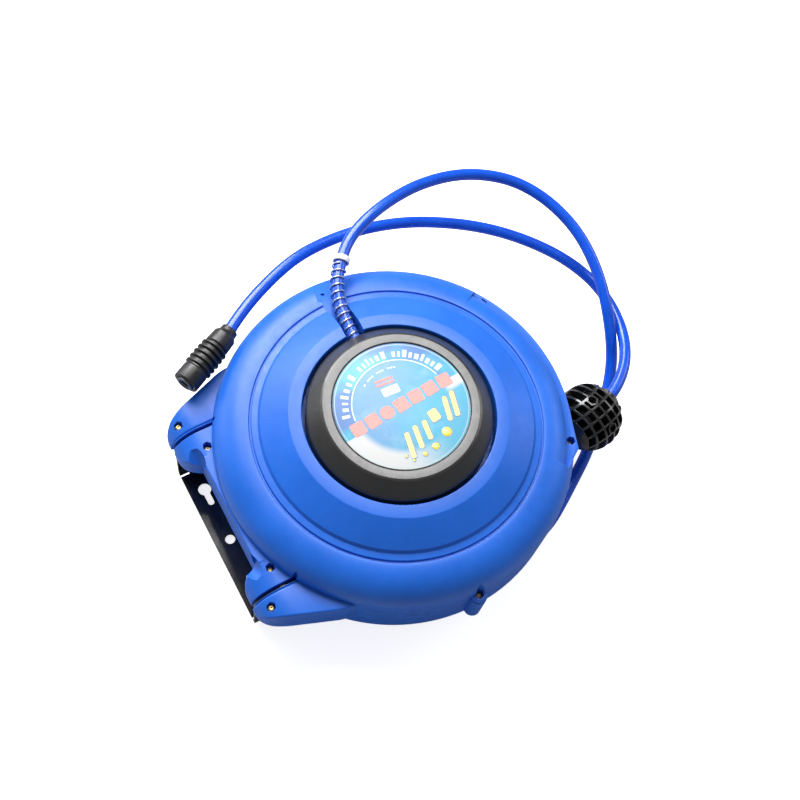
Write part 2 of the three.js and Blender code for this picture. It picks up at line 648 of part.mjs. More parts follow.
// ---------------------------------------------------------------- inlet hose
// [x, y, z] from the nipple round the +X side to the plug
const INLET_POINTS = [
  inletAt(46), inletAt(60), inletAt(80), INLET_AIM,
  [2.3, 111.4, 126.5], [5, 128.6, 128], [9.7, 142.8, 129], [15.8, 154, 130],
  [22.7, 162.8, 130.5], [27.7, 168.9, 131], [41.3, 183, 132], [60.5, 194.5, 133],
  [84.3, 203.9, 133], [108.9, 210.9, 131], [136.3, 215.7, 128], [165.6, 216.4, 124],
  [190.7, 213.2, 120], [216.9, 204.6, 115], [242.8, 188.9, 109], [262.2, 166.6, 103],
  [276.2, 138.4, 96], [283, 109.5, 89], [282.9, 78.2, 81.5], [278.3, 49.6, 73.5],
  [272.5, 26.5, 64], [267.3, 5.8, 50], [260.6, -13.3, 34], [246.3, -33.5, 22],
  [220.5, -58.1, 14], [190.2, -83.8, 9.5], [163.2, -101.7, 7.4], [137.9, -117.8, 6.8],
  [118.2, -129, 6.8], [95.8, -136.8, 6.8], [78, -141.4, 6.8],
];

const inletHose = () =>
  cut(sweep(INLET_POINTS, HOSE_R, 6, 48), rod(inletAt(40), inletAt(60), 4.7, 14));

const inletFerrule = () =>
  cut(rod(inletAt(33), inletAt(48.5), 7.4, 16), rod(inletAt(31), inletAt(50), 6.3, 16));

// plug that carries on in line with the end of the hose
function inletPlug() {
  const [before, end] = INLET_POINTS.slice(-2).map((p) => new THREE.Vector3(...p));
  const direction = end.clone().sub(before).normalize();
  const plugAt = (distance) => end.clone().addScaledVector(direction, distance).toArray();
  const body = join(
    rod(plugAt(0.4), plugAt(10), 6.6, 6),
    rod(plugAt(9.5), plugAt(20), 5.4, 16),
  );
  return cut(body, rod(plugAt(8), plugAt(22), 2.6, 12));
}

// ---------------------------------------------------------------- spring guard
// start and end are distances along the inlet hose; coilR is to the wire's centre
const GUARD = { start: 40, end: 125, turns: 11, coilR: 7.62, wireR: 0.8 };
const inletCurve = curveThrough(INLET_POINTS);
const inletLength = inletCurve.getLength();

// helical wire over the first part of the hose
function guardWire() {
  const helix = [];
  const steps = GUARD.turns * 8;
  for (let i = 0; i <= steps; i++) {
    const k = i / steps;
    const fraction = (GUARD.start + (GUARD.end - GUARD.start) * k) / inletLength;
    const direction = inletCurve.getTangentAt(fraction);
    const up = new THREE.Vector3(0, 0, 1)
      .sub(direction.clone().multiplyScalar(direction.z)).normalize();
    const side = direction.clone().cross(up);
    const a = 2 * Math.PI * GUARD.turns * k;
    helix.push(inletCurve.getPointAt(fraction)
      .addScaledVector(up, GUARD.coilR * Math.cos(a))
      .addScaledVector(side, GUARD.coilR * Math.sin(a)).toArray());
  }
  return sweep(helix, GUARD.wireR, 3, GUARD.turns * 7);
}

// collar just past the end of the wire
function guardCollar() {
  const start = GUARD.end + 3.5;
  const end = start + 6;
  const hoseAt = (distance) => inletCurve.getPointAt(distance / inletLength).toArray();
  return cut(
    rod(hoseAt(start), hoseAt(end), 8.4, 20),
    rod(hoseAt(start - 6), hoseAt(end + 6), 6.7, 20),
  );
}

// ---------------------------------------------------------------- hub cap and label
// domed cap with a shallow seat for the label and a notch for the inlet hose
function hubCap() {
  const innerR = 84.2;
  const cap = latheClosed([
    [innerR, 117], [HUB_R, 117], [HUB_R, HUB_EDGE_Z - 1.5], [HUB_R - 1.5, HUB_EDGE_Z + 1],
    [74, HUB_TOP_Z - 0.8], [72, HUB_TOP_Z], [LABEL_R + 1, HUB_TOP_Z],
    [LABEL_R + 0.6, HUB_TOP_Z - 1.2], [0, HUB_TOP_Z - 1.2], [0, HUB_TOP_Z - 4],
    [71, HUB_TOP_Z - 4], [innerR, HUB_EDGE_Z - 1.5],
  ], 28);
  return cut(cap, box(-9.6, 11.8, 70, 100, 100, 135.2));
}

const hubLabel = () => cyl(LABEL_R, HUB_TOP_Z - 0.9, HUB_TOP_Z - 0.4, 28);

// ---------------------------------------------------------------- swivel wall bracket
const WEB_Z = 3;
const EAR = { halfWidth: 25.5, rise: 19.5 };

// web with two keyholes, and an ear with a rounded end on each side
function wallBracket() {
  const outerY = EAR_Y + PLATE / 2;
  const x0 = PIVOT.x - EAR.halfWidth;
  const x1 = PIVOT.x + EAR.halfWidth;
  const ear = [[x0, WEB_Z]];
  for (let i = 0; i <= 7; i++) {
    const a = degToRad(180 - 180 / 7 * i);
    ear.push([PIVOT.x + EAR.halfWidth * Math.cos(a), PIVOT.z + EAR.rise * Math.sin(a)]);
  }
  ear.push([x1, WEB_Z]);
  const holeX = -175;
  const keyhole = join(
    cyl(6.5, 0, 8, 20, [holeX, 58]),
    box(holeX - 3.2, holeX + 3.2, 43, 58, 0, 8),
    cyl(3.2, 0, 8, 16, [holeX, 43]),
  );
  return cut(
    join(
      box(x0, x1, -outerY, outerY, WEB_Z, WEB_Z + PLATE),
      pair(prismY(ear, outerY - PLATE, outerY)),
    ),
    pair(keyhole),
    cyl(5, 0, 8, 20, [holeX, 0]),
    rod([PIVOT.x, -100, PIVOT.z], [PIVOT.x, 100, PIVOT.z], 4.35, 24),
    pair(box(-195, -181, outerY - 6.5, outerY - 4, 0, 8)),
  );
}

// ---------------------------------------------------------------- materials
const STEEL = 0xb9bdc2;
const BLACK = 0x17181a;
const NYLON = 0xd8d6cc;
const WHITE = 0xe9ebee;
const FINISH = {
  steel: { color: STEEL, roughness: 0.3, metalness: 0.9 },
  shaftSteel: { color: STEEL, roughness: 0.35, metalness: 0.9 },
  sheetSteel: { color: STEEL, roughness: 0.4, metalness: 0.8 },
  couplerSteel: { color: STEEL, roughness: 0.25, metalness: 0.9 },
  springSteel: { color: 0x4a5058, roughness: 0.35, metalness: 0.9 },
  zinc: { color: 0xd9c27a, roughness: 0.35, metalness: 0.8 },
  brass: { color: 0xc9a24a, roughness: 0.3, metalness: 0.9 },
  whiteWire: { color: WHITE, roughness: 0.3, metalness: 0.6 },
  whitePlastic: { color: WHITE, roughness: 0.4 },
  bushNylon: { color: NYLON, roughness: 0.5 },
  rollerNylon: { color: NYLON, roughness: 0.4 },
  seal: { color: BLACK, roughness: 0.7 },
  sleeve: { color: BLACK, roughness: 0.6 },
  guide: { color: BLACK, roughness: 0.5 },
  glossBlack: { color: BLACK, roughness: 0.4 },
  bracket: { color: BLACK, roughness: 0.35, metalness: 0.3 },
  drum: { color: 0x2b2d31, roughness: 0.5 },
  hose: { color: 0x0a48d8, roughness: 0.2 },
  casing: { color: 0x2f6fe0, roughness: 0.4 },
  label: { color: 0x38b6e8, roughness: 0.3 },
};

// ---------------------------------------------------------------- assembly
const group = new THREE.Group();

function add(name, piece, finish) {
  const { vertProperties, triVerts } = piece.getMesh();
  const g = new THREE.BufferGeometry();
  g.setAttribute('position', new THREE.Float32BufferAttribute(vertProperties, 3));
  g.setIndex(new THREE.Uint32BufferAttribute(triVerts, 1));
  g.computeVertexNormals();
  const mesh = new THREE.Mesh(g, new THREE.MeshStandardMaterial(finish));
  mesh.name = name;
  group.add(mesh);
}

function addScrews(prefix, screws, position = (s) => s) {
  screws.at.forEach((spot, i) => {
    add(`${prefix}_${i + 1}`, position(screw(spot, screws)), FINISH.steel);
  });
}

add('pivot_pin_upper', pivotPin(1), FINISH.steel);
add('pivot_pin_lower', pivotPin(-1), FINISH.steel);
for (const [name, spot, top, tip] of CASE_SCREWS) {
  add(name, screw(spot, { ...CASE_SCREW, top, tip }), FINISH.zinc);
}

addScrews('shaft_screw', SHAFT_SCREWS, (s) => s.mirror([0, 0, 1]));
add('main_shaft', mainShaft(), FINISH.shaftSteel);
add('front_bush', frontBush(), FINISH.bushNylon);
add('rear_bush', rearBush(), FINISH.bushNylon);

addScrews('drum_screw', DRUM_SCREWS);
addScrews('spindle_screw', SPINDLE_SCREWS);
add('swivel_spindle', swivelSpindle(), FINISH.brass);
add('swivel_seal_1', swivelSeal(118.3), FINISH.seal);
add('swivel_seal_2', swivelSeal(122.1), FINISH.seal);
addScrews('housing_screw', HOUSING_SCREWS);
add('swivel_housing', swivelHousing(), FINISH.brass);
add('drum_elbow', drumElbow(), FINISH.brass);

add('wound_hose', woundHose(), FINISH.hose);
add('mainspring', mainspring(), FINISH.springSteel);
add('spring_cover', springCover(), FINISH.sheetSteel);
add('ratchet_ring', ratchetRing(), FINISH.sheetSteel);
add('pawl', pawl(), FINISH.sheetSteel);
add('pawl_pin', pawlPin(), FINISH.steel);
add('pawl_spring', pawlSpring(), FINISH.steel);
add('drum_core', drumCore(), FINISH.drum);
add('drum_front_flange', drumFrontFlange(), FINISH.drum);

['a', 'b'].forEach((suffix, i) => {
  add(`roller_pin_${suffix}`, rollerPin(rollerSpots[i]), FINISH.steel);
  add(`guide_roller_${suffix}`, guideRoller(rollerSpots[i]), FINISH.rollerNylon);
});
add('outlet_guide', outletGuide(), FINISH.guide);

addScrews('ball_screw', BALL_SCREWS, (s) => place(s, ballFrame));
const [ballFront, ballRear] = ballHalves();
add('ball_half_front', ballFront, FINISH.glossBlack);
add('ball_half_rear', ballRear, FINISH.glossBlack);
add('work_hose_run', workHoseRun(), FINISH.hose);
add('work_hose_loop', workHoseLoop(), FINISH.hose);
add('coupler_body', couplerBody(), FINISH.couplerSteel);
add('coupler_sleeve', couplerSleeve(), FINISH.sleeve);

add('inlet_hose', inletHose(), FINISH.hose);
add('inlet_plug', inletPlug(), FINISH.brass);
add('inlet_ferrule', inletFerrule(), FINISH.steel);
add('guard_wire', guardWire(), FINISH.whiteWire);
add('guard_collar', guardCollar(), FINISH.whitePlastic);

add('hub_cap', hubCap(), FINISH.glossBlack);
add('hub_label', hubLabel(), FINISH.label);
add('front_cover', frontCover(), FINISH.casing);
add('rear_cover', rearCover(), FINISH.casing);
add('wall_bracket', wallBracket(), FINISH.bracket);

export default group;
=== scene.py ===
# Wall-mounted hose reel lying on its back. The drum turns about Z: the back of the casing is at
# z = 0 and the hub cap with its label faces +Z. The wall bracket is at -X. The work hose leaves
# at +X through a ball stopper and bends round +X and +Y to a quick coupler; the inlet hose leaves
# the hub towards +Y. Pieces are built in millimetres and scaled to metres in piece().
import json
from math import acos, atan2, cos, pi, radians, sin, sqrt, tan

import bpy
import bmesh
import numpy as np
from mathutils import Matrix, Vector


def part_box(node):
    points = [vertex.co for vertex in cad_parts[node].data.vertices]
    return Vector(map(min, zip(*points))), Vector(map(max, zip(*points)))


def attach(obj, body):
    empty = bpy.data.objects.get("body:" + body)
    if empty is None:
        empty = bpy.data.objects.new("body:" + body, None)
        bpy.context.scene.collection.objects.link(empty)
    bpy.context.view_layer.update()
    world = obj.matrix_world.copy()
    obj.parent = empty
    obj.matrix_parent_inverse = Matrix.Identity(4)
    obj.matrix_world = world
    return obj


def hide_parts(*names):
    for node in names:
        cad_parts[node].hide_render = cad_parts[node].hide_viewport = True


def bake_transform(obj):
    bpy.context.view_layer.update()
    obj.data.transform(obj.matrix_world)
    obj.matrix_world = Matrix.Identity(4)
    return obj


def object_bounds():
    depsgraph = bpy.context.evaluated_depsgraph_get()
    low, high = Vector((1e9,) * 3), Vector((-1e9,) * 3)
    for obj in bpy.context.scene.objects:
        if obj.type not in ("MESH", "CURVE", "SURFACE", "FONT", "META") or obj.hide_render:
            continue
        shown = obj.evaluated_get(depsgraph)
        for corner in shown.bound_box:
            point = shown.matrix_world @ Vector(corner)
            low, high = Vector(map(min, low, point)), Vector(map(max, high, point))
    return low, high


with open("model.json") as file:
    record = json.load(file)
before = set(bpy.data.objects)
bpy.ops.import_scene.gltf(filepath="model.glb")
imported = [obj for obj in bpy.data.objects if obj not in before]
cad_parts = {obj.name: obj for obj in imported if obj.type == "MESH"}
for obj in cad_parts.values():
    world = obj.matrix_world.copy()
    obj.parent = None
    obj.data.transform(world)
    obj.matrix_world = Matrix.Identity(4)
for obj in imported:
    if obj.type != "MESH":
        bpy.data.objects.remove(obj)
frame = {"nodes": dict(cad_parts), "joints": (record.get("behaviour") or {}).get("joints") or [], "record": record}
CAD_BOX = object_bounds()
MM = 0.001


def mm_box(node):
    low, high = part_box(node)
    return np.array(low) / MM, np.array(high) / MM


def mm_centre(node):
    low, high = mm_box(node)
    return (low + high) / 2


# ------------------------------------------------------------------ main measures
JOINTS = {joint["name"]: joint for joint in frame["joints"]}
CAP_HIGH = mm_box("hub_cap")[1]
HUB_R, HUB_TOP = CAP_HIGH[0], CAP_HIGH[2]
LABEL_R = mm_box("hub_label")[1][0]
LABEL_TOP = mm_box("hub_label")[1][2]
PIVOT_X, _, PIVOT_Z = mm_centre("pivot_pin_upper")
SEAM_Z = PIVOT_Z                    # plane where the casing halves meet
SEAM_GAP = 0.15                     # from that plane to each half
CASE_R = 173.0
WALL = 3.0
PULL = np.array(JOINTS["hose_pull"]["axis"], float)
PULL_DIR = PULL / np.linalg.norm(PULL)
SIDE_DIR = np.array([-PULL_DIR[1], PULL_DIR[0], 0.0])
SLEEVE_DIR = -np.array(JOINTS["sleeve_release"]["axis"], float)
COUPLINGS = frame["record"]["behaviour"]["couplings"]
RUN_R = 1000.0 / next(c["ratio"] for c in COUPLINGS if c["joint"] == "drum_spin")
RUN_START = np.array([RUN_R * PULL_DIR[1], -RUN_R * PULL_DIR[0], SEAM_Z])
FACE_DEG, FACE_DIST = -19.8, 171.5  # flat outlet face: direction and distance from the axis
LEDGE_Z, LEDGE_R, LEDGE_DEG = 100.0, 164.0, 33.5
LEDGE_TOP = 118.0
EAR_Y, PLATE = 84.85, 2.5           # middle of a bracket ear, sheet thickness
HOSE_R = 6.0
BORE_R = HOSE_R + 0.4               # hose bore of the ball
BALL_AT, BALL_R, BALL_ROLL = 167.0, 33.9, 22.7
SEAT = 28.1                         # ball centre to the outlet face


def along(distance):
    """Point on the straight run of the work hose."""
    return RUN_START + PULL_DIR * distance


# ------------------------------------------------------------------ meshes
def outward(mesh, recalculate=True):
    bm = bmesh.new()
    bm.from_mesh(mesh)
    if recalculate:
        bmesh.ops.recalc_face_normals(bm, faces=bm.faces)
    if bm.calc_volume(signed=True) < 0:
        bmesh.ops.reverse_faces(bm, faces=bm.faces)
    bm.to_mesh(mesh)
    bm.free()
    mesh.update()
    return mesh


def raw_mesh(verts, faces):
    mesh = bpy.data.meshes.new("m")
    mesh.from_pydata([tuple(float(c) for c in v) for v in verts], [], faces)
    return mesh


def new_mesh(verts, faces):
    return outward(raw_mesh(verts, faces))


def moved(mesh, matrix):
    out = mesh.copy()
    out.transform(matrix)
    if matrix.determinant() < 0:
        out.flip_normals()
    out.update()
    return out


def shift(mesh, x=0, y=0, z=0):
    return moved(mesh, Matrix.Translation((x, y, z)))


def turned(mesh, degrees):
    return moved(mesh, Matrix.Rotation(radians(degrees), 4, "Z"))


def y_pair(mesh):
    """The mesh and its mirror image across y = 0."""
    return [mesh, moved(mesh, Matrix.Scale(-1, 4, (0, 1, 0)))]


def axes_matrix(x, y, z, origin):
    return Matrix([(x[i], y[i], z[i], origin[i]) for i in range(3)] + [(0, 0, 0, 1)])


def axis_matrix(start, end):
    """Matrix that takes the Z axis to the line from start towards end."""
    direction = (Vector(end) - Vector(start)).normalized()
    turn = direction.to_track_quat("Z", "Y").to_matrix().to_4x4()
    return Matrix.Translation(Vector(start)) @ turn


def polar(radius, degrees):
    return radius * cos(radians(degrees)), radius * sin(radians(degrees))


def circle(radius, segments, turn=0.0, x=0.0, y=0.0):
    angles = [2 * pi * i / segments + turn for i in range(segments)]
    return [(x + radius * cos(a), y + radius * sin(a)) for a in angles]


def fillet(points, steps=5):
    """Closed outline of (x, y, corner radius), the radius being optional, with rounded corners."""
    out = []
    for i, point in enumerate(points):
        radius = point[2] if len(point) > 2 else 0
        corner = np.array(point[:2], float)
        if radius <= 0:
            out.append(tuple(corner))
            continue
        back = np.array(points[i - 1][:2], float) - corner
        ahead = np.array(points[(i + 1) % len(points)][:2], float) - corner
        back_length, ahead_length = np.linalg.norm(back), np.linalg.norm(ahead)
        back, ahead = back / back_length, ahead / ahead_length
        half = acos(max(-1, min(1, float(back @ ahead)))) / 2
        if half > 1.55 or half < 0.02:   # too straight or too sharp to round
            out.append(tuple(corner))
            continue
        trim = min(radius / tan(half), 0.48 * back_length, 0.48 * ahead_length)
        radius = trim * tan(half)
        middle = (back + ahead) / np.linalg.norm(back + ahead)
        centre = corner + middle * (radius / sin(half))
        first = corner + back * trim - centre
        last = corner + ahead * trim - centre
        start, end = atan2(first[1], first[0]), atan2(last[1], last[0])
        while end - start > pi:
            end -= 2 * pi
        while end - start < -pi:
            end += 2 * pi
        for k in range(steps + 1):
            angle = start + (end - start) * k / steps
            out.append((centre[0] + radius * cos(angle), centre[1] + radius * sin(angle)))
    return out


def lathe(profile, segments=160):
    """Closed profile of (radius, z) turned about Z."""
    verts, rows = [], []
    for radius, z in profile:
        if radius < 1e-6:
            rows.append([len(verts)] * segments)
            verts.append((0, 0, z))
        else:
            rows.append(list(range(len(verts), len(verts) + segments)))
            verts += [(x, y, z) for x, y in circle(radius, segments)]
    faces = []
    for k, row in enumerate(rows):
        following = rows[(k + 1) % len(rows)]
        if row[0] == row[1] and following[0] == following[1]:
            continue
        for i in range(segments):
            j = (i + 1) % segments
            # dict.fromkeys drops the repeated index where a row is a point on the axis
            faces.append(list(dict.fromkeys((row[i], row[j], following[j], following[i]))))
    return new_mesh(verts, faces)


def skin_faces(count, rings):
    """Side quads between rings of count points, and the two end caps."""
    sides = [[k * count + i, k * count + (i + 1) % count,
              (k + 1) * count + (i + 1) % count, (k + 1) * count + i]
             for k in range(rings - 1) for i in range(count)]
    caps = [list(range(count))[::-1], list(range((rings - 1) * count, rings * count))]
    return sides, caps


def loft(sections):
    sides, caps = skin_faces(len(sections[0]), len(sections))
    return new_mesh([v for section in sections for v in section], sides + caps)


def between(bottom, top, z0, z1):
    """Solid between two plan outlines of equal length."""
    sides, caps = skin_faces(len(bottom), 2)
    return new_mesh([(x, y, z0) for x, y in bottom] + [(x, y, z1) for x, y in top], caps + sides)


def prism(points, z0, z1):
    return between(points, points, z0, z1)


def prism_xz(points, y0, y1):
    """Prism with its outline in x and z, drawn out along Y."""
    swap = Matrix(((1, 0, 0, 0), (0, 0, 1, 0), (0, 1, 0, 0), (0, 0, 0, 1)))
    return outward(moved(prism(points, y0, y1), swap))


def prism_yz(points, x0, x1):
    """Prism with its outline in y and z, drawn out along X."""
    cycle = Matrix(((0, 0, 1, 0), (1, 0, 0, 0), (0, 1, 0, 0), (0, 0, 0, 1)))
    return outward(moved(prism(points, x0, x1), cycle))


def box(x0, x1, y0, y1, z0, z1):
    return prism([(x0, y0), (x1, y0), (x1, y1), (x0, y1)], z0, z1)


def cyl(radius, z0, z1, x=0.0, y=0.0, seg=48, top_radius=None, turn=0.0):
    top_radius = radius if top_radius is None else top_radius
    return between(circle(radius, seg, turn, x, y), circle(top_radius, seg, turn, x, y), z0, z1)


def rod(start, end, radius, seg=48, end_radius=None):
    length = (Vector(end) - Vector(start)).length
    upright = cyl(radius, 0, length, seg=seg, top_radius=end_radius)
    return moved(upright, axis_matrix(start, end))


def ball(radius, segments, rings):
    angles = [pi * k / rings for k in range(1, rings)]
    arc = [(radius * sin(a), -radius * cos(a)) for a in angles]
    return lathe([(0.0, -radius)] + arc + [(0.0, radius)], segments)


def curve(points, step):
    """Centripetal Catmull-Rom through the points, resampled evenly; also gives the spacing."""
    knots = [np.array(p, float) for p in points]
    dense = 24   # samples in each span before resampling
    out = []
    for i in range(len(knots) - 1):
        p1, p2 = knots[i], knots[i + 1]
        p0 = knots[i - 1] if i > 0 else 2 * knots[0] - knots[1]
        p3 = knots[i + 2] if i + 2 < len(knots) else 2 * knots[-1] - knots[-2]
        d0, d1, d2 = (max(np.linalg.norm(d) ** 0.5, 1e-4) for d in (p1 - p0, p2 - p1, p3 - p2))
        t1 = ((p1 - p0) / d0 - (p2 - p0) / (d0 + d1) + (p2 - p1) / d1) * d1
        t2 = ((p2 - p1) / d1 - (p3 - p1) / (d1 + d2) + (p3 - p2) / d2) * d1
        square, cube = -3 * p1 + 3 * p2 - 2 * t1 - t2, 2 * p1 - 2 * p2 + t1 + t2
        for k in range(dense):
            t = k / dense
            out.append(p1 + t1 * t + square * t * t + cube * t ** 3)
    out.append(knots[-1])
    out = np.array(out)
    travel = distances(out)
    count = max(2, int(round(travel[-1] / step)))
    stations = np.linspace(0, travel[-1], count + 1)
    path = np.stack([np.interp(stations, travel, out[:, k]) for k in range(3)], 1)
    return path, travel[-1] / count


def distances(path):
    return np.concatenate([[0], np.cumsum(np.linalg.norm(np.diff(path, axis=0), axis=1))])


def smoothed(path, passes):
    out = path.copy()
    for _ in range(passes):
        out[1:-1] = 0.25 * out[:-2] + 0.5 * out[1:-1] + 0.25 * out[2:]
    return out


def frames(path):
    """Untwisted (tangent, side, third axis) at each point of a path."""
    tangents = np.gradient(path, axis=0)
    tangents /= np.linalg.norm(tangents, axis=1)[:, None]
    side = np.cross(tangents[0], [0, 0, 1.0])
    side /= np.linalg.norm(side)
    out = []
    for tangent in tangents:
        side = side - tangent * (side @ tangent)
        side /= np.linalg.norm(side)
        out.append((tangent, side.copy(), np.cross(tangent, side)))
    return out


def tube(path, radius, sides, ends=1.0):
    """Round bar with softened ends and a UV map of (turn, distance in mm)."""
    path_frames = frames(path)
    last = len(path) - 1
    tip = radius - ends * 0.6
    # each ring: station, offset along the path, radius
    rings = [(0, 0.0, tip), (0, ends * 0.4, radius)]
    rings += [(k, 0.0, radius) for k in range(1, last)]
    rings += [(last, -ends * 0.4, radius), (last, 0.0, tip)]
    verts = []
    for station, offset, ring_radius in rings:
        tangent, side, third = path_frames[station]
        centre = path[station] + tangent * offset
        verts += [centre + side * x + third * y for x, y in circle(ring_radius, sides)]
    quads, caps = skin_faces(sides, len(rings))
    mesh = raw_mesh(verts, quads + caps)
    uv = mesh.uv_layers.new(name="UVMap")
    travel = distances(path)
    for face in mesh.polygons:
        indices = [mesh.loops[loop].vertex_index for loop in face.loop_indices]
        columns = [index % sides for index in indices]
        wraps = len(indices) == 4 and max(columns) - min(columns) > sides / 2
        for loop, index, column in zip(face.loop_indices, indices, columns):
            if wraps and column < sides / 2:
                column += sides
            uv.data[loop].uv = (column / sides, travel[rings[index // sides][0]])
    mesh.update()
    return outward(mesh, recalculate=False)


def temp_object(mesh):
    obj = bpy.data.objects.new("tmp", mesh)
    bpy.context.scene.collection.objects.link(obj)
    return obj


def evaluated(target, tools=()):
    """Mesh of the target after its modifiers; removes the target and the tools."""
    bpy.context.view_layer.update()
    depsgraph = bpy.context.evaluated_depsgraph_get()
    out = bpy.data.meshes.new_from_object(target.evaluated_get(depsgraph))
    for obj in [target, *tools]:
        bpy.data.objects.remove(obj)
    return out


def combine(mesh, operation, others):
    target = temp_object(mesh)
    tools = [temp_object(other) for other in others]
    for tool in tools:
        modifier = target.modifiers.new("b", "BOOLEAN")
        modifier.operation, modifier.object, modifier.solver = operation, tool, "MANIFOLD"
    return evaluated(target, tools)


def cut(mesh, *others):
    return combine(mesh, "DIFFERENCE", others)


def join(mesh, *others):
    return combine(mesh, "UNION", others)


def overlap(mesh, *others):
    return combine(mesh, "INTERSECT", others)


def soft(mesh, width, segments=3, angle=35):
    """Bevelled edges."""
    target = temp_object(mesh)
    bevel = target.modifiers.new("b", "BEVEL")
    bevel.width, bevel.segments = width, segments
    bevel.limit_method, bevel.angle_limit = "ANGLE", radians(angle)
    bevel.use_clamp_overlap = True
    bevel.miter_outer = "MITER_ARC"
    return evaluated(target)


def merged(meshes):
    """Several closed bodies in one mesh."""
    bm = bmesh.new()
    for mesh in meshes:
        bm.from_mesh(mesh)
    out = bpy.data.meshes.new("m")
    bm.to_mesh(out)
    bm.free()
    return out


# ------------------------------------------------------------------ materials
def srgb(*levels):
    """Linear colour from levels of 0 to 255."""
    parts = [level / 255.0 for level in levels]
    return tuple(c / 12.92 if c <= 0.04045 else ((c + 0.055) / 1.055) ** 2.4
                 for c in parts) + (1.0,)


def tint(color, gain, lift=0.0):
    return tuple(min(1.0, v * gain + lift) for v in color[:3]) + (1,)


class Material:
    """A Principled material with short ways to add nodes.

    span is the range of input values and to the range they are mapped to.
    """

    def __init__(self, name):
        self.material = bpy.data.materials.new(name)
        self.material.use_nodes = True
        self.tree = self.material.node_tree
        self.tree.nodes.clear()
        self.shader = self.node("ShaderNodeBsdfPrincipled")
        self.node("ShaderNodeOutputMaterial", {0: self.shader.outputs[0]})
        self.coords = self.node("ShaderNodeTexCoord").outputs["Object"]

    def feed(self, node, inputs):
        for key, value in inputs.items():
            if isinstance(value, bpy.types.NodeSocket):
                self.tree.links.new(value, node.inputs[key])
            else:
                node.inputs[key].default_value = value

    def node(self, kind, inputs=None, **settings):
        node = self.tree.nodes.new(kind)
        for key, value in settings.items():
            setattr(node, key, value)
        self.feed(node, inputs or {})
        return node

    def surface(self, color, roughness, normal, **inputs):
        """Principled inputs; an underscore in a keyword stands for a space."""
        self.feed(self.shader, {"Base Color": color, "Roughness": roughness, "Normal": normal})
        self.feed(self.shader, {key.replace("_", " "): v for key, v in inputs.items()})
        return self.material

    def noise(self, scale, detail, roughness, distortion=0.0):
        return self.node("ShaderNodeTexNoise", {
            "Vector": self.coords, "Scale": scale, "Detail": detail,
            "Roughness": roughness, "Distortion": distortion}).outputs["Fac"]

    def math(self, operation, a, b=0.0, clamp=False):
        return self.node("ShaderNodeMath", {0: a, 1: b, 2: 0.0},
                         operation=operation, use_clamp=clamp).outputs[0]

    def times(self, a, b):
        return self.math("MULTIPLY", a, b)

    def plus(self, a, b, clamp=False):
        return self.math("ADD", a, b, clamp)

    def ramp(self, value, span, to=(0, 1), smooth=False):
        return self.node("ShaderNodeMapRange", {
            "Value": value, "From Min": span[0], "From Max": span[1],
            "To Min": to[0], "To Max": to[1]},
            interpolation_type="SMOOTHSTEP" if smooth else "LINEAR").outputs[0]

    def mottle(self, scale, detail, roughness, span, to=(0, 1), distortion=0.0):
        return self.ramp(self.noise(scale, detail, roughness, distortion), span, to)

    def mix(self, factor, a, b, mode="MIX"):
        return self.node("ShaderNodeMix", {0: factor, 6: a, 7: b},
                         data_type="RGBA", blend_type=mode).outputs[2]

    def round_normal(self, radius, samples=6):
        return self.node("ShaderNodeBevel", {"Radius": radius}, samples=samples).outputs[0]

    def edges(self, radius, samples=4):
        """1 on outer and inner edges, 0 on open faces."""
        flat = self.node("ShaderNodeNewGeometry").outputs["Normal"]
        match = self.node("ShaderNodeVectorMath", {0: self.round_normal(radius, samples), 1: flat},
                          operation="DOT_PRODUCT")
        return self.ramp(match.outputs["Value"], span=(0.995, 0.8))

    def bump(self, height, distance, strength=1.0, normal=None):
        inputs = {"Height": height, "Distance": distance, "Strength": strength}
        if normal is not None:
            inputs["Normal"] = normal
        return self.node("ShaderNodeBump", inputs).outputs[0]

    def split(self, vector):
        return self.node("ShaderNodeSeparateXYZ", {0: vector}).outputs


def moulded(name, base, lit, rough, grain=2600, grain_depth=0.00002, edge=0.0007,
            edge_wear_and_highlight=0.10, rough_var=0.07, coat=0.0, dust=0.0, spec=0.5):
    """Moulded plastic: fine grain, faint flow clouds, edges lighter and shinier; the lighter edge colour is partly
    wear and partly painted highlight.
    """
    m = Material(name)
    clouds = m.mottle(scale=14, detail=4, roughness=0.6, span=(0.35, 0.7))
    flow = m.mottle(scale=55, detail=3, roughness=0.5, distortion=1.2,
                    span=(0.45, 0.75), to=(0, 0.35))
    color = m.mix(flow, m.mix(clouds, base, lit), lit)
    edge_wear_and_highlight_mask = m.edges(edge * 1.6)
    wear_and_glint_breakup = m.mottle(scale=420, detail=5, roughness=0.7, span=(0.48, 0.62), to=(0.25, 1))
    # painted highlight and wear: edges are mixed towards a much lighter tint of the lit colour, broken up by noise
    color = m.mix(m.times(m.times(edge_wear_and_highlight_mask, wear_and_glint_breakup), edge_wear_and_highlight * 3), color, tint(lit, 1.9, 0.05))
    if dust:
        up = m.split(m.node("ShaderNodeNewGeometry").outputs["Normal"])[2]
        specks = m.mottle(scale=160, detail=6, roughness=0.7, span=(0.5, 0.75))
        settled = m.times(m.ramp(up, span=(0.3, 1.0), to=(0, dust)), specks)
        color = m.mix(settled, color, (0.55, 0.55, 0.55, 1))
    gloss = m.mottle(scale=120, detail=5, roughness=0.65, span=(0.3, 0.7),
                     to=(rough - rough_var, rough + rough_var))
    coarse = m.noise(scale=grain * 0.28, detail=2, roughness=0.5)
    height = m.plus(m.noise(scale=grain, detail=2, roughness=0.6), m.times(coarse, 0.6))
    return m.surface(
        color, m.plus(gloss, m.times(edge_wear_and_highlight_mask, -0.06), clamp=True),
        m.bump(height, distance=grain_depth, normal=m.round_normal(edge)),
        Coat_Weight=coat, Coat_Roughness=0.12, Specular_IOR_Level=spec)


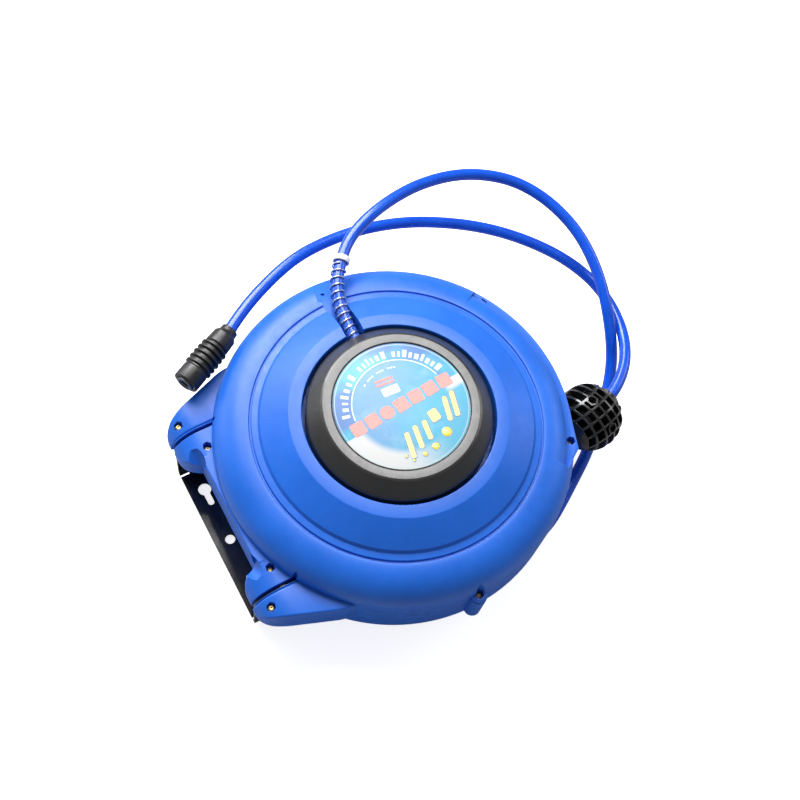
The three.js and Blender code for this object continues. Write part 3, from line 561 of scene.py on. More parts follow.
def metal(name, base, rough, edge=0.0003, stain=None):
    m = Material(name)
    fine = m.noise(scale=900, detail=6, roughness=0.75)
    patch = m.noise(scale=150, detail=5, roughness=0.65)
    stained = m.ramp(patch, span=(0.45, 0.75), to=(0, 0.8))
    color = m.mix(stained, base, stain or tint(base, 0.62))
    color = m.mix(m.times(m.edges(edge * 2), 0.35), color, tint(base, 1.4, 0.1))
    gloss = m.ramp(fine, span=(0.3, 0.7), to=(rough - 0.08, rough + 0.14))
    return m.surface(color, m.plus(gloss, m.times(patch, 0.08), clamp=True),
                     m.bump(fine, distance=0.00002, normal=m.round_normal(edge)), Metallic=1.0)


def rubber(name, base, rough):
    m = Material(name)
    clouds = m.mottle(scale=60, detail=5, roughness=0.65, span=(0.35, 0.7))
    color = m.mix(clouds, base, tint(base, 1.8, 0.01))
    color = m.mix(m.times(m.edges(0.0006), 0.25), color, (0.13, 0.13, 0.135, 1))
    coarse = m.noise(scale=500, detail=4, roughness=0.6)
    height = m.plus(m.noise(scale=3200, detail=3, roughness=0.6), m.times(coarse, 0.8))
    gloss = m.mottle(scale=200, detail=4, roughness=0.6, span=(0.3, 0.7),
                     to=(rough - 0.09, rough + 0.1))
    return m.surface(color, gloss,
                     m.bump(height, distance=0.00003, normal=m.round_normal(0.0003)))


def hose_material(name, braid=False):
    """Glossy blue hose with faint lines along it, painted lighter where it faces the camera and darker towards its
    outline; braid adds a weave on the guarded part.
    """
    m = Material(name)
    uv = m.node("ShaderNodeUVMap", uv_map="UVMap")
    turn, distance, _ = m.split(uv.outputs[0])
    facing = m.node("ShaderNodeLayerWeight", {"Blend": 0.35}).outputs["Facing"]
    # painted light and shade: skin is the lighter blue where the hose faces the camera, core the darker blue
    # towards its outline
    core, skin = (0.0004, 0.036, 0.45, 1), (0.0016, 0.100, 0.70, 1)
    clouds = m.mottle(scale=38, detail=4, roughness=0.6, span=(0.35, 0.7), to=(0, 0.35))
    color = m.mix(clouds, m.mix(facing, skin, core), (0.0005, 0.012, 0.36, 1))
    line_count, strand_count, strand_pitch = 22, 5, 6.5
    lines = m.math("SINE", m.times(turn, 2 * pi * line_count))
    height = m.plus(m.times(lines, 0.15), m.noise(scale=700, detail=4, roughness=0.6))
    if braid:
        def strands(direction):
            phase = m.math(direction, m.times(turn, 2 * pi * strand_count),
                           m.times(distance, 2 * pi / strand_pitch))
            return m.math("POWER", m.math("ABSOLUTE", m.math("SINE", phase)), 6.0)

        weave = m.math("MAXIMUM", strands("ADD"), strands("SUBTRACT"))
        guarded = m.ramp(distance, span=(79, 87), to=(1, 0))
        thread = m.times(weave, guarded)
        color = m.mix(m.times(thread, 0.55), color, srgb(120, 160, 240))
        gaps = m.math("SUBTRACT", guarded, thread, clamp=True)
        color = m.mix(m.times(gaps, 0.45), color, srgb(0, 20, 130))
        height = m.plus(height, m.times(thread, 2.0))
    gloss = m.mottle(scale=260, detail=4, roughness=0.65, span=(0.3, 0.7), to=(0.16, 0.30))
    return m.surface(color, gloss, m.bump(height, distance=0.00002),
                     Coat_Weight=0.35, Coat_Roughness=0.08, IOR=1.45, Subsurface_Weight=0.03,
                     Subsurface_Scale=0.004, Subsurface_Radius=(0.2, 0.5, 1.0))


def label_material():
    """Printed disc: sky and cyan washes, a pale crescent towards -Y, thin arcs."""
    m = Material("label_print")
    x, y, _ = m.split(m.coords)
    x, y = m.times(x, 1000.0), m.times(y, 1000.0)   # millimetres
    radius = m.math("SQRT", m.plus(m.times(x, x), m.times(y, y)))
    # inner disc: sky blue at -X and +Y, cyan at +X and -Y
    wash = m.noise(scale=22, detail=3, roughness=0.5, distortion=0.6)
    across = m.plus(m.times(x, 0.012), m.times(y, -0.010))
    across = m.plus(across, m.times(m.math("SUBTRACT", wash, 0.5), 1.1))
    inner = m.mix(m.ramp(across, span=(-0.35, 0.65), smooth=True),
                  srgb(98, 178, 238), srgb(20, 200, 244))
    streaks = m.mottle(scale=60, detail=4, roughness=0.6, distortion=1.5,
                       span=(0.52, 0.72), to=(0, 0.28))
    inner = m.mix(streaks, inner, srgb(170, 222, 250))
    # outer ring: blue with cyan patches at +Y, white sweeping to pale blue at -Y
    top = m.mix(m.mottle(scale=34, detail=2, roughness=0.5, span=(0.4, 0.62)),
                srgb(74, 140, 222), srgb(60, 205, 240))
    sweep = m.plus(m.times(x, 0.011), m.times(y, 0.002))
    white = srgb(250, 252, 252)
    low = m.mix(m.ramp(sweep, span=(-0.42, 0.22), smooth=True), white, srgb(82, 205, 244))
    slope = m.math("SUBTRACT", y, m.times(x, 0.085))
    above = m.ramp(slope, span=(-5.2, -4.6))
    ring = m.mix(above, low, top)
    band = m.times(m.ramp(slope, span=(-12, -8)), m.ramp(slope, span=(0.4, 0.0)))
    ring = m.mix(m.times(m.ramp(x, span=(40, 46)), band), ring, white)
    # the ring starts sharply above the slope and softly below it
    sharp_edge = m.ramp(radius, span=(45.9, 46.3))
    soft_edge = m.ramp(radius, span=(41, 50), smooth=True)
    ring_edge = m.node("ShaderNodeSeparateColor", {0: m.mix(above, soft_edge, sharp_edge)})
    color = m.mix(ring_edge.outputs[0], inner, ring)
    rim_distance = m.math("ABSOLUTE", m.times(m.math("SUBTRACT", radius, 61.4), 1.6))
    color = m.mix(m.math("SUBTRACT", 1.0, rim_distance, clamp=True), color, srgb(225, 250, 252))
    # fine halftone, then the whole print darkened
    dots = m.node("ShaderNodeTexVoronoi", {"Vector": m.coords, "Scale": 2400})
    halftone = m.ramp(dots.outputs["Distance"], span=(0.1, 0.6), to=(0.0, 0.05))
    color = m.mix(halftone, color, (1, 1, 1, 1))
    color = m.mix(1.0, color, (0.60, 0.60, 0.60, 1), "MULTIPLY")
    gloss = m.mottle(scale=90, detail=5, roughness=0.6, span=(0.3, 0.7), to=(0.30, 0.42))
    height = m.noise(scale=45, detail=3, roughness=0.5)
    return m.surface(color, gloss, m.bump(height, distance=0.0001, strength=0.4),
                     Coat_Weight=0.15, Coat_Roughness=0.2)


def ink(name, color, dark):
    m = Material(name)
    patches = m.mottle(scale=300, detail=5, roughness=0.7, span=(0.4, 0.7), to=(0, 0.6))
    gloss = m.mottle(scale=700, detail=4, roughness=0.6, span=(0.3, 0.7), to=(0.2, 0.34))
    height = m.noise(scale=1500, detail=3, roughness=0.6)
    return m.surface(m.mix(patches, color, dark), gloss, m.bump(height, distance=0.00001),
                     Coat_Weight=0.5, Coat_Roughness=0.08)


def painted(name):
    """Gloss black coat with a shallow orange peel, worn to bare metal along the edges."""
    m = Material(name)
    wear = m.mottle(scale=260, detail=6, roughness=0.7, span=(0.55, 0.72), to=(0.0, 0.3))
    worn = m.times(m.edges(0.0011, samples=6), wear)
    clouds = m.mottle(scale=40, detail=4, roughness=0.6, span=(0.35, 0.7))
    color = m.mix(clouds, (0.004, 0.004, 0.0045, 1), (0.010, 0.010, 0.011, 1))
    color = m.mix(worn, color, (0.5, 0.51, 0.52, 1))
    gloss = m.mottle(scale=90, detail=5, roughness=0.6, span=(0.3, 0.7), to=(0.16, 0.3))
    peel = m.bump(m.noise(scale=520, detail=2, roughness=0.5), distance=0.00005, strength=0.6,
                  normal=m.round_normal(0.0005))
    return m.surface(color, m.plus(gloss, m.times(worn, 0.2)), peel,
                     Metallic=m.times(worn, 0.9), Coat_Weight=0.4, Coat_Roughness=0.1)


MATERIALS = {
    "casing_blue": moulded(
        "casing_blue", base=(0.006, 0.112, 0.57, 1), lit=(0.011, 0.136, 0.67, 1), rough=0.40,
        edge_wear_and_highlight=0.07, spec=0.48),
    "hub_black": moulded(
        "hub_black", base=(0.020, 0.020, 0.0195, 1), lit=(0.031, 0.0305, 0.029, 1), rough=0.30,
        grain=1800, grain_depth=0.000004, edge_wear_and_highlight=0.04, rough_var=0.04, dust=0.01, spec=0.85),
    "moulded_black": moulded(
        "moulded_black", base=(0.010, 0.010, 0.0105, 1), lit=(0.02, 0.02, 0.02, 1), rough=0.42),
    # the ball's rib edges carry a strong painted highlight from the high edge value
    "ball_black": moulded(
        "ball_black", base=(0.009, 0.009, 0.0095, 1), lit=(0.016, 0.016, 0.017, 1), rough=0.24,
        edge=0.0006, edge_wear_and_highlight=0.65, coat=0.7),
    "sleeve_rubber": rubber("sleeve_rubber", base=(0.007, 0.007, 0.008, 1), rough=0.36),
    "seal_rubber": rubber("seal_rubber", base=(0.01, 0.01, 0.01, 1), rough=0.6),
    "bracket_paint": painted("bracket_paint"),
    "hose_blue": hose_material("hose_blue"),
    "steel": metal("steel", base=(0.56, 0.57, 0.58, 1), rough=0.28),
    "spring_steel": metal("spring_steel", base=(0.2, 0.22, 0.25, 1), rough=0.34,
                          stain=(0.10, 0.09, 0.12, 1)),
    "brass": metal("brass", base=(0.72, 0.5, 0.2, 1), rough=0.26, stain=(0.42, 0.26, 0.1, 1)),
    "zinc_screw": metal("zinc_screw", base=(0.78, 0.58, 0.26, 1), rough=0.26,
                        stain=(0.62, 0.4, 0.34, 1)),
    "guard_wire": metal("guard_wire", base=(0.82, 0.83, 0.85, 1), rough=0.2, edge=0.0001),
    "guard_collar": moulded("guard_collar", base=(0.78, 0.8, 0.82, 1),
                            lit=(0.84, 0.85, 0.86, 1), rough=0.35, edge=0.0003),
    "nylon": moulded("nylon", base=(0.66, 0.65, 0.58, 1), lit=(0.72, 0.71, 0.66, 1), rough=0.42),
    "label_print": label_material(),
}
HOSE_BRAID = hose_material("hose_blue_braid", braid=True)
INKS = {name: ink("ink_" + name, srgb(*color), srgb(*dark)) for name, color, dark in (
    ("white", (220, 226, 230), (196, 208, 218)),
    ("coral", (214, 92, 78), (190, 70, 60)),
    ("yellow", (222, 208, 84), (204, 180, 60)),
    ("outline", (40, 90, 130), (30, 70, 110)),
    ("grey", (150, 160, 172), (120, 130, 140)),
)}

# CAD nodes that stay get their slot's material
for subpart in frame["record"].get("subparts", []):
    node = frame["nodes"].get(subpart.get("node"))
    if node is not None and subpart.get("material_slot") in MATERIALS:
        node.data.materials.clear()
        node.data.materials.append(MATERIALS[subpart["material_slot"]])


def piece(name, mesh, slot, replaces=None, body="case", material=None, angle=32):
    """Scale a mesh to metres and make it an object that rides on a body, or on none."""
    mesh.transform(Matrix.Scale(MM, 4))
    bm = bmesh.new()
    bm.from_mesh(mesh)
    bmesh.ops.remove_doubles(bm, verts=bm.verts, dist=2e-7)
    bmesh.ops.dissolve_degenerate(bm, dist=1e-7, edges=bm.edges)
    bm.to_mesh(mesh)
    bm.free()
    mesh.shade_smooth()
    mesh.set_sharp_from_angle(angle=radians(angle))
    mesh.update()
    mesh.name = name
    mesh.materials.clear()
    mesh.materials.append(material or MATERIALS[slot])
    obj = bpy.data.objects.new(name, mesh)
    bpy.context.scene.collection.objects.link(obj)
    if replaces:
        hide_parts(replaces)
    if body:
        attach(obj, body)
    return obj


# ------------------------------------------------------------------ casing shells
CASE_SEGMENTS = 192
SHOULDER_R = 138.0      # where the rounded shoulder meets the flat
SHOULDER_BASE = 28.0    # start of the shoulder from the seam
SHOULDER_RISE = 26.0


def quarter(outer_radius, base, rise, inset, steps, end_deg=90.0):
    """Quarter ellipse of (radius, z) from the outer radius in to SHOULDER_R."""
    angles = [radians(end_deg) * i / steps for i in range(steps + 1)]
    return [(SHOULDER_R + (outer_radius - SHOULDER_R - inset) * cos(a),
             base + (rise - inset) * sin(a)) for a in angles]


def shoulder(side, inset, steps, end_deg=90.0):
    """Shoulder profile on the +Z (side = 1) or -Z (side = -1) half."""
    profile = quarter(CASE_R, SHOULDER_BASE, SHOULDER_RISE, inset, steps, end_deg)
    return [(r, SEAM_Z + side * height) for r, height in profile]


def ledge_curve(inset, steps):
    return quarter(LEDGE_R, LEDGE_Z, LEDGE_TOP - LEDGE_Z, inset, steps)


# profiles of (radius, z, corner radius)
front_outer = lathe(fillet(
    [(0, SEAM_Z + SEAM_GAP), (CASE_R, SEAM_Z + SEAM_GAP, 0.5)] + shoulder(1, 0, 24, 84)
    + [(138.9, 117.95, 0.5), (138.3, 116.2, 0.3), (136.8, 116.2, 0.3), (136.4, 118.5, 0.5),
       (130.4, 119.3, 0.4), (128.3, 122.6, 1.1), (102.8, 136.0, 2.2), (90.5, 137.2, 0.9),
       (90.5, 114), (0, 114)]), CASE_SEGMENTS)
front_cavity = lathe(
    [(0, 60), (CASE_R - WALL, 60)] + shoulder(1, WALL, 14)
    + [(127, 117), (125, 119.4), (101, 132.2), (94, 134), (93.5, 133), (93.5, 111), (0, 111)],
    CASE_SEGMENTS)
rear_outer = lathe(fillet(
    [(0, 0), (112, 0, 2.0), (116, 1.2, 2.0), (130, 9.2, 1.5), (137.4, 9.9, 0.4)]
    + shoulder(-1, 0, 24)[:-1][::-1]
    + [(CASE_R, SEAM_Z - SEAM_GAP, 0.5), (0, SEAM_Z - SEAM_GAP)]), CASE_SEGMENTS)
rear_cavity = lathe(
    [(0, WALL), (110, WALL), (114.6, 4.2), (128.6, 12.2)] + shoulder(-1, WALL, 14)[::-1]
    + [(CASE_R - WALL, 70), (0, 70)], CASE_SEGMENTS)


# ------------------------------------------------------------------ lugs at the pivot
def smooth_plan(points, x):
    """Monotone interpolation of y over x."""
    xs, ys = (np.array(column, float) for column in zip(*sorted(points)))
    widths = np.diff(xs)
    slopes = np.diff(ys) / widths
    tangents = np.zeros(len(xs))
    tangents[0], tangents[-1] = slopes[0], slopes[-1]
    for i in range(1, len(xs) - 1):
        if slopes[i - 1] * slopes[i] > 0:
            w1, w2 = 2 * widths[i] + widths[i - 1], widths[i] + 2 * widths[i - 1]
            tangents[i] = (w1 + w2) / (w1 / slopes[i - 1] + w2 / slopes[i])
    i = int(np.clip(np.searchsorted(xs, x) - 1, 0, len(xs) - 2))
    t = (x - xs[i]) / widths[i]
    return ((1 + 2 * t) * (1 - t) ** 2 * ys[i] + t * (1 - t) ** 2 * widths[i] * tangents[i]
            + t * t * (3 - 2 * t) * ys[i + 1] + t * t * (t - 1) * widths[i] * tangents[i + 1])


LUG_NOSE = 28.4     # length of the nose from the pin, along -X
LUG_UP = 25.5       # from the pin to the +Z side
LUG_DOWN = 12.0     # from the pin to the -Z side
LUG_CORNER = 2.2


def lug(low_y, high_y):
    """Rounded-nose lug between two plan edges of (x, y); its height is an ellipse at the pin."""
    x_start, x_end = high_y[0][0], high_y[-1][0]
    nose = [PIVOT_X + LUG_NOSE * cos(pi - (pi / 2) * k / 25) for k in range(1, 26)]
    xs = [x_start] + [x for x in nose if x > x_start + 0.2]
    xs += list(np.linspace(PIVOT_X + 3, x_end, 22))
    sections = []
    for x in xs:
        fraction = (x - PIVOT_X) / (LUG_NOSE + 0.12)
        scale = sqrt(max(0.0, 1 - fraction ** 2)) if x < PIVOT_X else 1.0
        up, down = max(LUG_UP * scale, 0.7), max(LUG_DOWN * scale, 0.7)
        low, high = smooth_plan(low_y, x), smooth_plan(high_y, x)
        r = min(LUG_CORNER, 0.45 * down, 0.45 * (high - low))
        ring = []
        for y, z, start in ((high - r, up - r, 0), (low + r, up - r, 90),
                            (low + r, -down + r, 180), (high - r, -down + r, 270)):
            for k in range(6):
                angle = radians(start + 90 * k / 5)
                ring.append((x, y + r * cos(angle), PIVOT_Z + z + r * sin(angle)))
        sections.append(ring)
    return loft(sections)


outer_lug = lug(
    [(-193.2, 87.9), (-90, 87.9)],
    [(-193.2, 94.0), (-192.4, 97.6), (-190.2, 101.4), (-184.5, 106.7), (-174.7, 111.8),
     (-155, 119.4), (-135, 126.8), (-122, 131.2), (-113, 132.5), (-90, 118)])
inner_lug = lug(
    [(-192.4, 73.5), (-191.6, 69.0), (-189.6, 64.8), (-186.5, 61.6), (-181.5, 58.6),
     (-176.5, 56.0), (-172, 54.5), (-120, 54)],
    [(-192.4, 81.5), (-191.6, 85.0), (-190.3, 88.1), (-120, 88.1)])
wall_block = soft(box(-175, -130, -58, 58, SEAM_Z - 12, SEAM_Z + 25.5), 1.4, 4)
lugs = join(*y_pair(outer_lug), *y_pair(inner_lug), wall_block)
lug_zone = box(-210, -100, -160, 160, 0, 160)

# slits that take the bracket ears
SLIT_HALF = 1.85
slit_low, slit_high = EAR_Y - SLIT_HALF, EAR_Y + SLIT_HALF
slit_blocks = y_pair(box(-200, -136, EAR_Y - 5, EAR_Y + 5, 8, 120))
slit_cuts = y_pair(join(
    box(-210, -138.9, slit_low, slit_high, -20, 66),
    box(-210, -148, slit_low, slit_high, 60, 160),
    rod((PIVOT_X, slit_low, PIVOT_Z), (PIVOT_X, slit_high, PIVOT_Z), 26.2, 64)))
pin_holes = [rod((PIVOT_X, y0, PIVOT_Z), (PIVOT_X, y1, PIVOT_Z), 4.4)
             for y0, y1 in ((70.5, 108), (-108, -70.5))]
scoops = y_pair(rod((-181, 65, 93), (-181, 49, 82), 9, 64))

# ------------------------------------------------------------------ outlet, boss and ledge
OUTLET_PLAN = [(147.4, -96.9, 1.6), (164, -50.6), (150, -48), (120, -70), (112, -106),
               (125.7, -110.8), (143.6, -99.3, 4)]
outlet_block = soft(prism(fillet(OUTLET_PLAN, 6), 39, LEDGE_Z), 0.9, 3, 50)
outlet_wall = overlap(turned(box(FACE_DIST - 4.7, FACE_DIST, -40.6, 38, 38, 90), FACE_DEG),
                      cyl(CASE_R - 0.6, 30, 100, seg=CASE_SEGMENTS))
outlet_cuts = [turned(box(FACE_DIST, FACE_DIST + 40, -60, 60, -10, 150), FACE_DEG),
               rod(along(118), along(150), 9.2, 64, 11),
               rod(along(128.2), along(146), 9.6, 64, 18)]
# boss on the rim at -Y
foot_boss = lathe(fillet([(0, 40), (8.2, 40, 1), (8.2, 80, 1.2), (6.9, 80.4, 0.3),
                          (6.7, 86, 0.9), (0, 86)], 4), 64)
blocks = join(outlet_block, shift(foot_boss, -7, -174, 0))


def ledge_area(grow):
    """Plan of the ledge at +X; grow = 1 widens it for the wall beneath."""
    end_deg = LEDGE_DEG + 1.2 * grow
    return prism([(80, -70.5 - 3 * grow), (125.7 - 1.4 * grow, -110.8 - 3 * grow),
                  (160, -88.8 - 4 * grow), (230, -60), (230, 60),
                  polar(210, end_deg), polar(90, end_deg)], 80, 130)


ledge_cut = overlap(lathe(
    [(LEDGE_R + 0.9, LEDGE_Z), (LEDGE_R + 0.25, LEDGE_Z + 0.25), (LEDGE_R, LEDGE_Z + 0.9)]
    + ledge_curve(0, 22)[2:] + [(SHOULDER_R, 125), (182, 125), (182, LEDGE_Z)],
    CASE_SEGMENTS), ledge_area(0))
ledge_wall = overlap(lathe(
    [(LEDGE_R - WALL, LEDGE_Z - WALL)] + ledge_curve(WALL, 12)
    + [(SHOULDER_R, 119), (171, 119), (171, LEDGE_Z - WALL)],
    CASE_SEGMENTS), ledge_area(1), front_outer)
ledge_slot = shift(turned(box(-0.8, 0.8, -3.2, 3.2, -2.4, 8), 21), 146.5, 82.1, LEDGE_Z)

# ------------------------------------------------------------------ channel and pad towards +Y
CHANNEL_PLAN = [(-9, 84), (9.5, 84), (11.8, 113, 60), (12.6, 130, 40), (12.4, 140, 3),
                (2, 158, 3), (-7.5, 143, 25), (-6.6, 119, 40)]
CHANNEL_WALL_PLAN = [(-12.5, 80), (12.5, 80), (15.5, 112), (26, 134), (44, 172), (-10, 172),
                     (-13, 143), (-10, 119)]
channel_wall = overlap(prism(CHANNEL_WALL_PLAN, 112.6, 140),
                       cyl(CASE_R - 1, 90, 150, seg=CASE_SEGMENTS))
channel_cut = prism(fillet(CHANNEL_PLAN, 6), 115.6, 160)
# the pad slopes from pad_start to pad_end and leans 12 degrees across
pad_start, pad_end = Vector((-9.6, 143.4, 117.8)), Vector((-4.4, 167.4, 106.4))
pad_y = (pad_end - pad_start).normalized()
pad_z = Vector((cos(radians(12)), 0, -sin(radians(12)))).cross(pad_y).normalized()
PAD = axes_matrix(pad_y.cross(pad_z), pad_y, pad_z, pad_start)
pad_cut = moved(box(0, 26, -26, 60, 0, 40), PAD)
pad_wall = moved(box(-3, 29, -28, 34, -3.2, 0.2), PAD)
pad_hole = moved(cyl(2.0, -3.5, 2, 7.5, 12.5, 32), PAD)


# ------------------------------------------------------------------ casing halves
def screw_place(node):
    """(node, x, y, low z, high z)"""
    low, high = mm_box(node)
    x, y, _ = mm_centre(node)
    return node, x, y, low[2], high[2]


case_screws = [screw_place(n) for n in (
    "lug_screw_outer_a", "lug_screw_outer_b", "lug_screw_inner_a", "lug_screw_inner_b",
    "outlet_screw", "foot_screw")]
shaft_screws = [screw_place("shaft_screw_%d" % i) for i in (1, 2, 3)]
housing_at = [mm_centre("housing_screw_%d" % i)[:2] for i in (1, 2, 3)]


def casing_front():
    half = box(-260, 260, -260, 260, SEAM_Z + SEAM_GAP, 200)
    front = join(front_outer, overlap(lugs, half, lug_zone), overlap(blocks, half))
    solid = [*slit_blocks, outlet_wall, channel_wall, pad_wall, cyl(11, 60, 92, -7, -166),
             cyl(9, 75, LEDGE_Z - 0.5, 144.0, -85.2), ledge_wall]
    front = cut(front, cut(front_cavity, *solid))
    front = cut(front, *slit_cuts, *outlet_cuts, channel_cut, pad_cut, pad_hole, ledge_cut,
                ledge_slot)
    front = cut(front, *pin_holes)
    front = cut(front, *scoops)
    pockets = []
    for _, x, y, tip, top in case_screws:
        pockets += [cyl(4.5, top - 3, 130, x, y, 6, turn=0.3),
                    cyl(2.3, tip - 1.2, top, x, y, 24)]
    front = cut(front, *pockets)
    collar_in, collar_out = 16.6, 20
    front = join(front, lathe([(collar_in, 106), (collar_out, 106), (collar_out, 112),
                               (collar_in, 112)], 64))
    front = cut(front, cyl(collar_in, 100, 120, seg=64))
    front = join(front, *[cyl(3.6, 107.5, 112.5, x, y, 24) for x, y in housing_at])
    return cut(front, *[cyl(1.9, 100, 120, x, y, 24) for x, y in housing_at])


def casing_rear():
    half = box(-260, 260, -260, 260, -60, SEAM_Z - SEAM_GAP)
    rear = join(rear_outer, overlap(lugs, half, lug_zone), overlap(blocks, half))
    solid = [overlap(join(*slit_blocks), rear_outer), outlet_wall, cyl(28, 0, 6),
             cyl(11, 36, 70, -7, -166)]
    rear = cut(rear, cut(rear_cavity, *solid))
    rear = cut(rear, *slit_cuts, *outlet_cuts, *pin_holes)
    rear = cut(rear, *[cyl(4.6, -2, 3.2, x, y, 32) for _, x, y, _, _ in shaft_screws],
               *[cyl(2.5, -2, 8, x, y, 24) for _, x, y, _, _ in shaft_screws])
    rear = cut(rear, *[cyl(2.3, tip - 1.5, 70, x, y, 24)
                       for _, x, y, tip, _ in case_screws if tip < SEAM_Z])
    # pawl pin boss, post for the pawl's leaf spring
    x, y, _ = mm_centre("pawl_pin")
    rear = join(rear, cyl(7, 2, 12, x, y, 32))
    rear = cut(rear, cyl(2.9, 5, 20, x, y, 24))
    rear = join(rear, cyl(4, 2, 20, *polar(116, 222.5), 24))
    # ring grooves in the back face
    width, depth = 1.6, 0.8
    return cut(rear, *[
        lathe(fillet([(r, -2), (r, depth, 0.3), (r + width, depth, 0.3), (r + width, -2)], 3),
              CASE_SEGMENTS) for r in (40.0, 96.0)])


piece("casing_front", casing_front(), "casing_blue", "front_cover", angle=28)
piece("casing_rear", casing_rear(), "casing_blue", "rear_cover", angle=28)


# ------------------------------------------------------------------ fixings
def pan_screw(place, head_r=3.2, head_h=2.6, shank_r=1.85, head_up=True):
    _, x, y, low, high = place
    length = high - low
    screw = lathe(fillet([
        (0, -length), (shank_r * 0.55, -length, 0.2), (shank_r, -length + 2.2, 0.4),
        (shank_r, -head_h, 0.1), (head_r, -head_h, 0.35), (head_r, -0.75, 0.7),
        (head_r * 0.6, 0, 0.8), (0, 0)], 4), 48)
    screw = cut(screw, cyl(head_r * 0.46, -head_h * 0.62, 1, seg=6, turn=0.2))
    if head_up:
        return shift(screw, x, y, high)
    return shift(moved(screw, Matrix.Scale(-1, 4, (0, 0, 1))), x, y, low)


for place in case_screws:
    piece(place[0] + "_fine", pan_screw(place), "zinc_screw", place[0])
for place in shaft_screws:
    screw = pan_screw(place, head_r=4.0, head_h=2.3, shank_r=2.1, head_up=False)
    piece(place[0] + "_fine", screw, "steel", place[0])

# ------------------------------------------------------------------ hub cap and label
CAP_SEAT_Z = HUB_TOP - 1.2   # floor under the label
cap = lathe(fillet([
    (84.2, 117, 0.4), (HUB_R, 117, 0.5), (HUB_R, 136.8, 1.6), (85.3, 139.2, 1.8),
    (74.2, 152.1, 1.0), (72.2, HUB_TOP, 1.0), (LABEL_R + 1.4, HUB_TOP, 0.5),
    (LABEL_R + 0.6, CAP_SEAT_Z, 0.2), (0, CAP_SEAT_Z), (0, HUB_TOP - 4),
    (71, HUB_TOP - 4, 1), (84.2, 136.5, 1)], 5), 256)
# notch in the +Y side of the cap
notch = fillet([(-9.6, 100), (11.8, 100), (11.8, 135.2, 5), (-9.6, 135.2, 5)], 6)
piece("hub_cap_fine", cut(cap, prism_xz(notch, 70, 100)), "hub_black", "hub_cap", angle=30)

label = lathe(fillet([(0, LABEL_TOP - 0.5), (LABEL_R, LABEL_TOP - 0.5),
                      (LABEL_R, LABEL_TOP, 0.35), (0, LABEL_TOP)], 4), 256)
piece("hub_label_film", label, "label_print", "hub_label", angle=50)

PRINT_BASE = LABEL_TOP - 0.05


def block(x, y, width, height, deg, corner, thick, skew=0.0):
    """Printed bar centred on (x, y); skew leans it along its width."""
    c, s = cos(radians(deg)), sin(radians(deg))
    points = []
    for i, j in ((-1, -1), (1, -1), (1, 1), (-1, 1)):
        px, py = i * width / 2 + skew * j * height / 2, j * height / 2
        points.append((x + c * px - s * py, y + s * px + c * py, corner))
    return prism(fillet(points, 3), PRINT_BASE, LABEL_TOP + thick)


def arc_block(inner_r, outer_r, start, end, thick, steps):
    points = [polar(outer_r, start + (end - start) * k / steps) for k in range(steps + 1)]
    points += [polar(inner_r, end + (start - end) * k / steps) for k in range(steps + 1)]
    return prism(points, PRINT_BASE, LABEL_TOP + thick)


def print_piece(color, meshes):
    piece("print_" + color, merged(meshes), "label_print", material=INKS[color], angle=40)


# runs of bars round the +Y edge: start and end in degrees, bar widths in degrees
BAR_RUNS = ((19, 72, (5, 3.2, 4.2, 3, 4.6, 3.4, 4.4, 2.4, 3.6)),
            (79, 112, (4.4, 3.6, 2.2, 2.2, 2.6, 3.4)),
            (121, 169, (4.6, 3.4, 3.8, 3.6, 2.4, 3.8, 3.4)))
white = []
for start, end, widths in BAR_RUNS:
    gap = ((end - start) - sum(widths)) / (len(widths) - 1)
    angle = start
    for k, width in enumerate(widths):
        outer_r = 56.2 if k % 3 == 0 else 54.4
        white.append(arc_block(49.0, outer_r, angle, angle + width * 0.92, 0.12, 3))
        angle += width + gap
white.append(arc_block(45.4, 46.3, 17, 174, 0.13, 90))
for k in range(13):
    if k % 4 != 3:
        deg = 72 + k * 4.3
        white.append(block(*polar(38.6, deg), 1.5, 2.0, deg, 0.3, 0.12))
white.append(block(-2.2, 17.4, 16.5, 8.4, -3, 0.9, 0.12))
print_piece("white", white)

# a row of seven blocks across the middle, the third rounder, and two thin bars
coral = []
for k in range(7):
    width, corner = (13.6, 6.0) if k == 2 else (13.2, 1.6)
    coral.append(block(-46.8 + 15.6 * k, -3.6 + 1.4 * k, width, 13.0,
                       5 + (3 if k % 2 else -3), corner, 0.16))
coral += [block(-3.0, 29.6, 18.0, 2.4, -5, 0.8, 0.12), block(-3.4, 25.6, 18.0, 2.4, -5, 0.8, 0.12)]
print_piece("coral", coral)
print_piece("grey", [block(-8.0 + 3.0 * k, 17.7 - 0.15 * k, 1.5, 4.4, -3, 0.3, 0.16)
                     for k in range(5)])

# slanted bars (x, y, width, height, degrees, skew) and dots (x, y, radius) at the -Y side
SLANTS = ((44.2, -19.6, 4.6, 25, -4, 0.18), (35.6, -21.2, 4.6, 24, -4, 0.18),
          (21.4, -21.8, 9.5, 11.5, 10, 0.1), (8.8, -31.6, 4.6, 19, 4, 0.2),
          (-1.8, -34.2, 4.6, 22, 2, 0.2), (-12.4, -38.2, 4.6, 25, 0, 0.2))
DOTS = ((23.8, -41.2, 4.6), (8.0, -49.0, 3.4), (-4.2, -51.4, 2.2), (-20.6, -45.8, 1.5),
        (-16.4, -52.2, 1.2))
YELLOW_THICK, OUTLINE_THICK = 0.17, 0.11
yellow, outline = [], []
for x, y, width, height, deg, skew in SLANTS:
    yellow.append(block(x, y, width, height, deg, 1.8, YELLOW_THICK, skew))
    outline.append(block(x + 0.3, y - 0.3, width + 1.7, height + 1.7, deg, 2.3,
                         OUTLINE_THICK, skew))
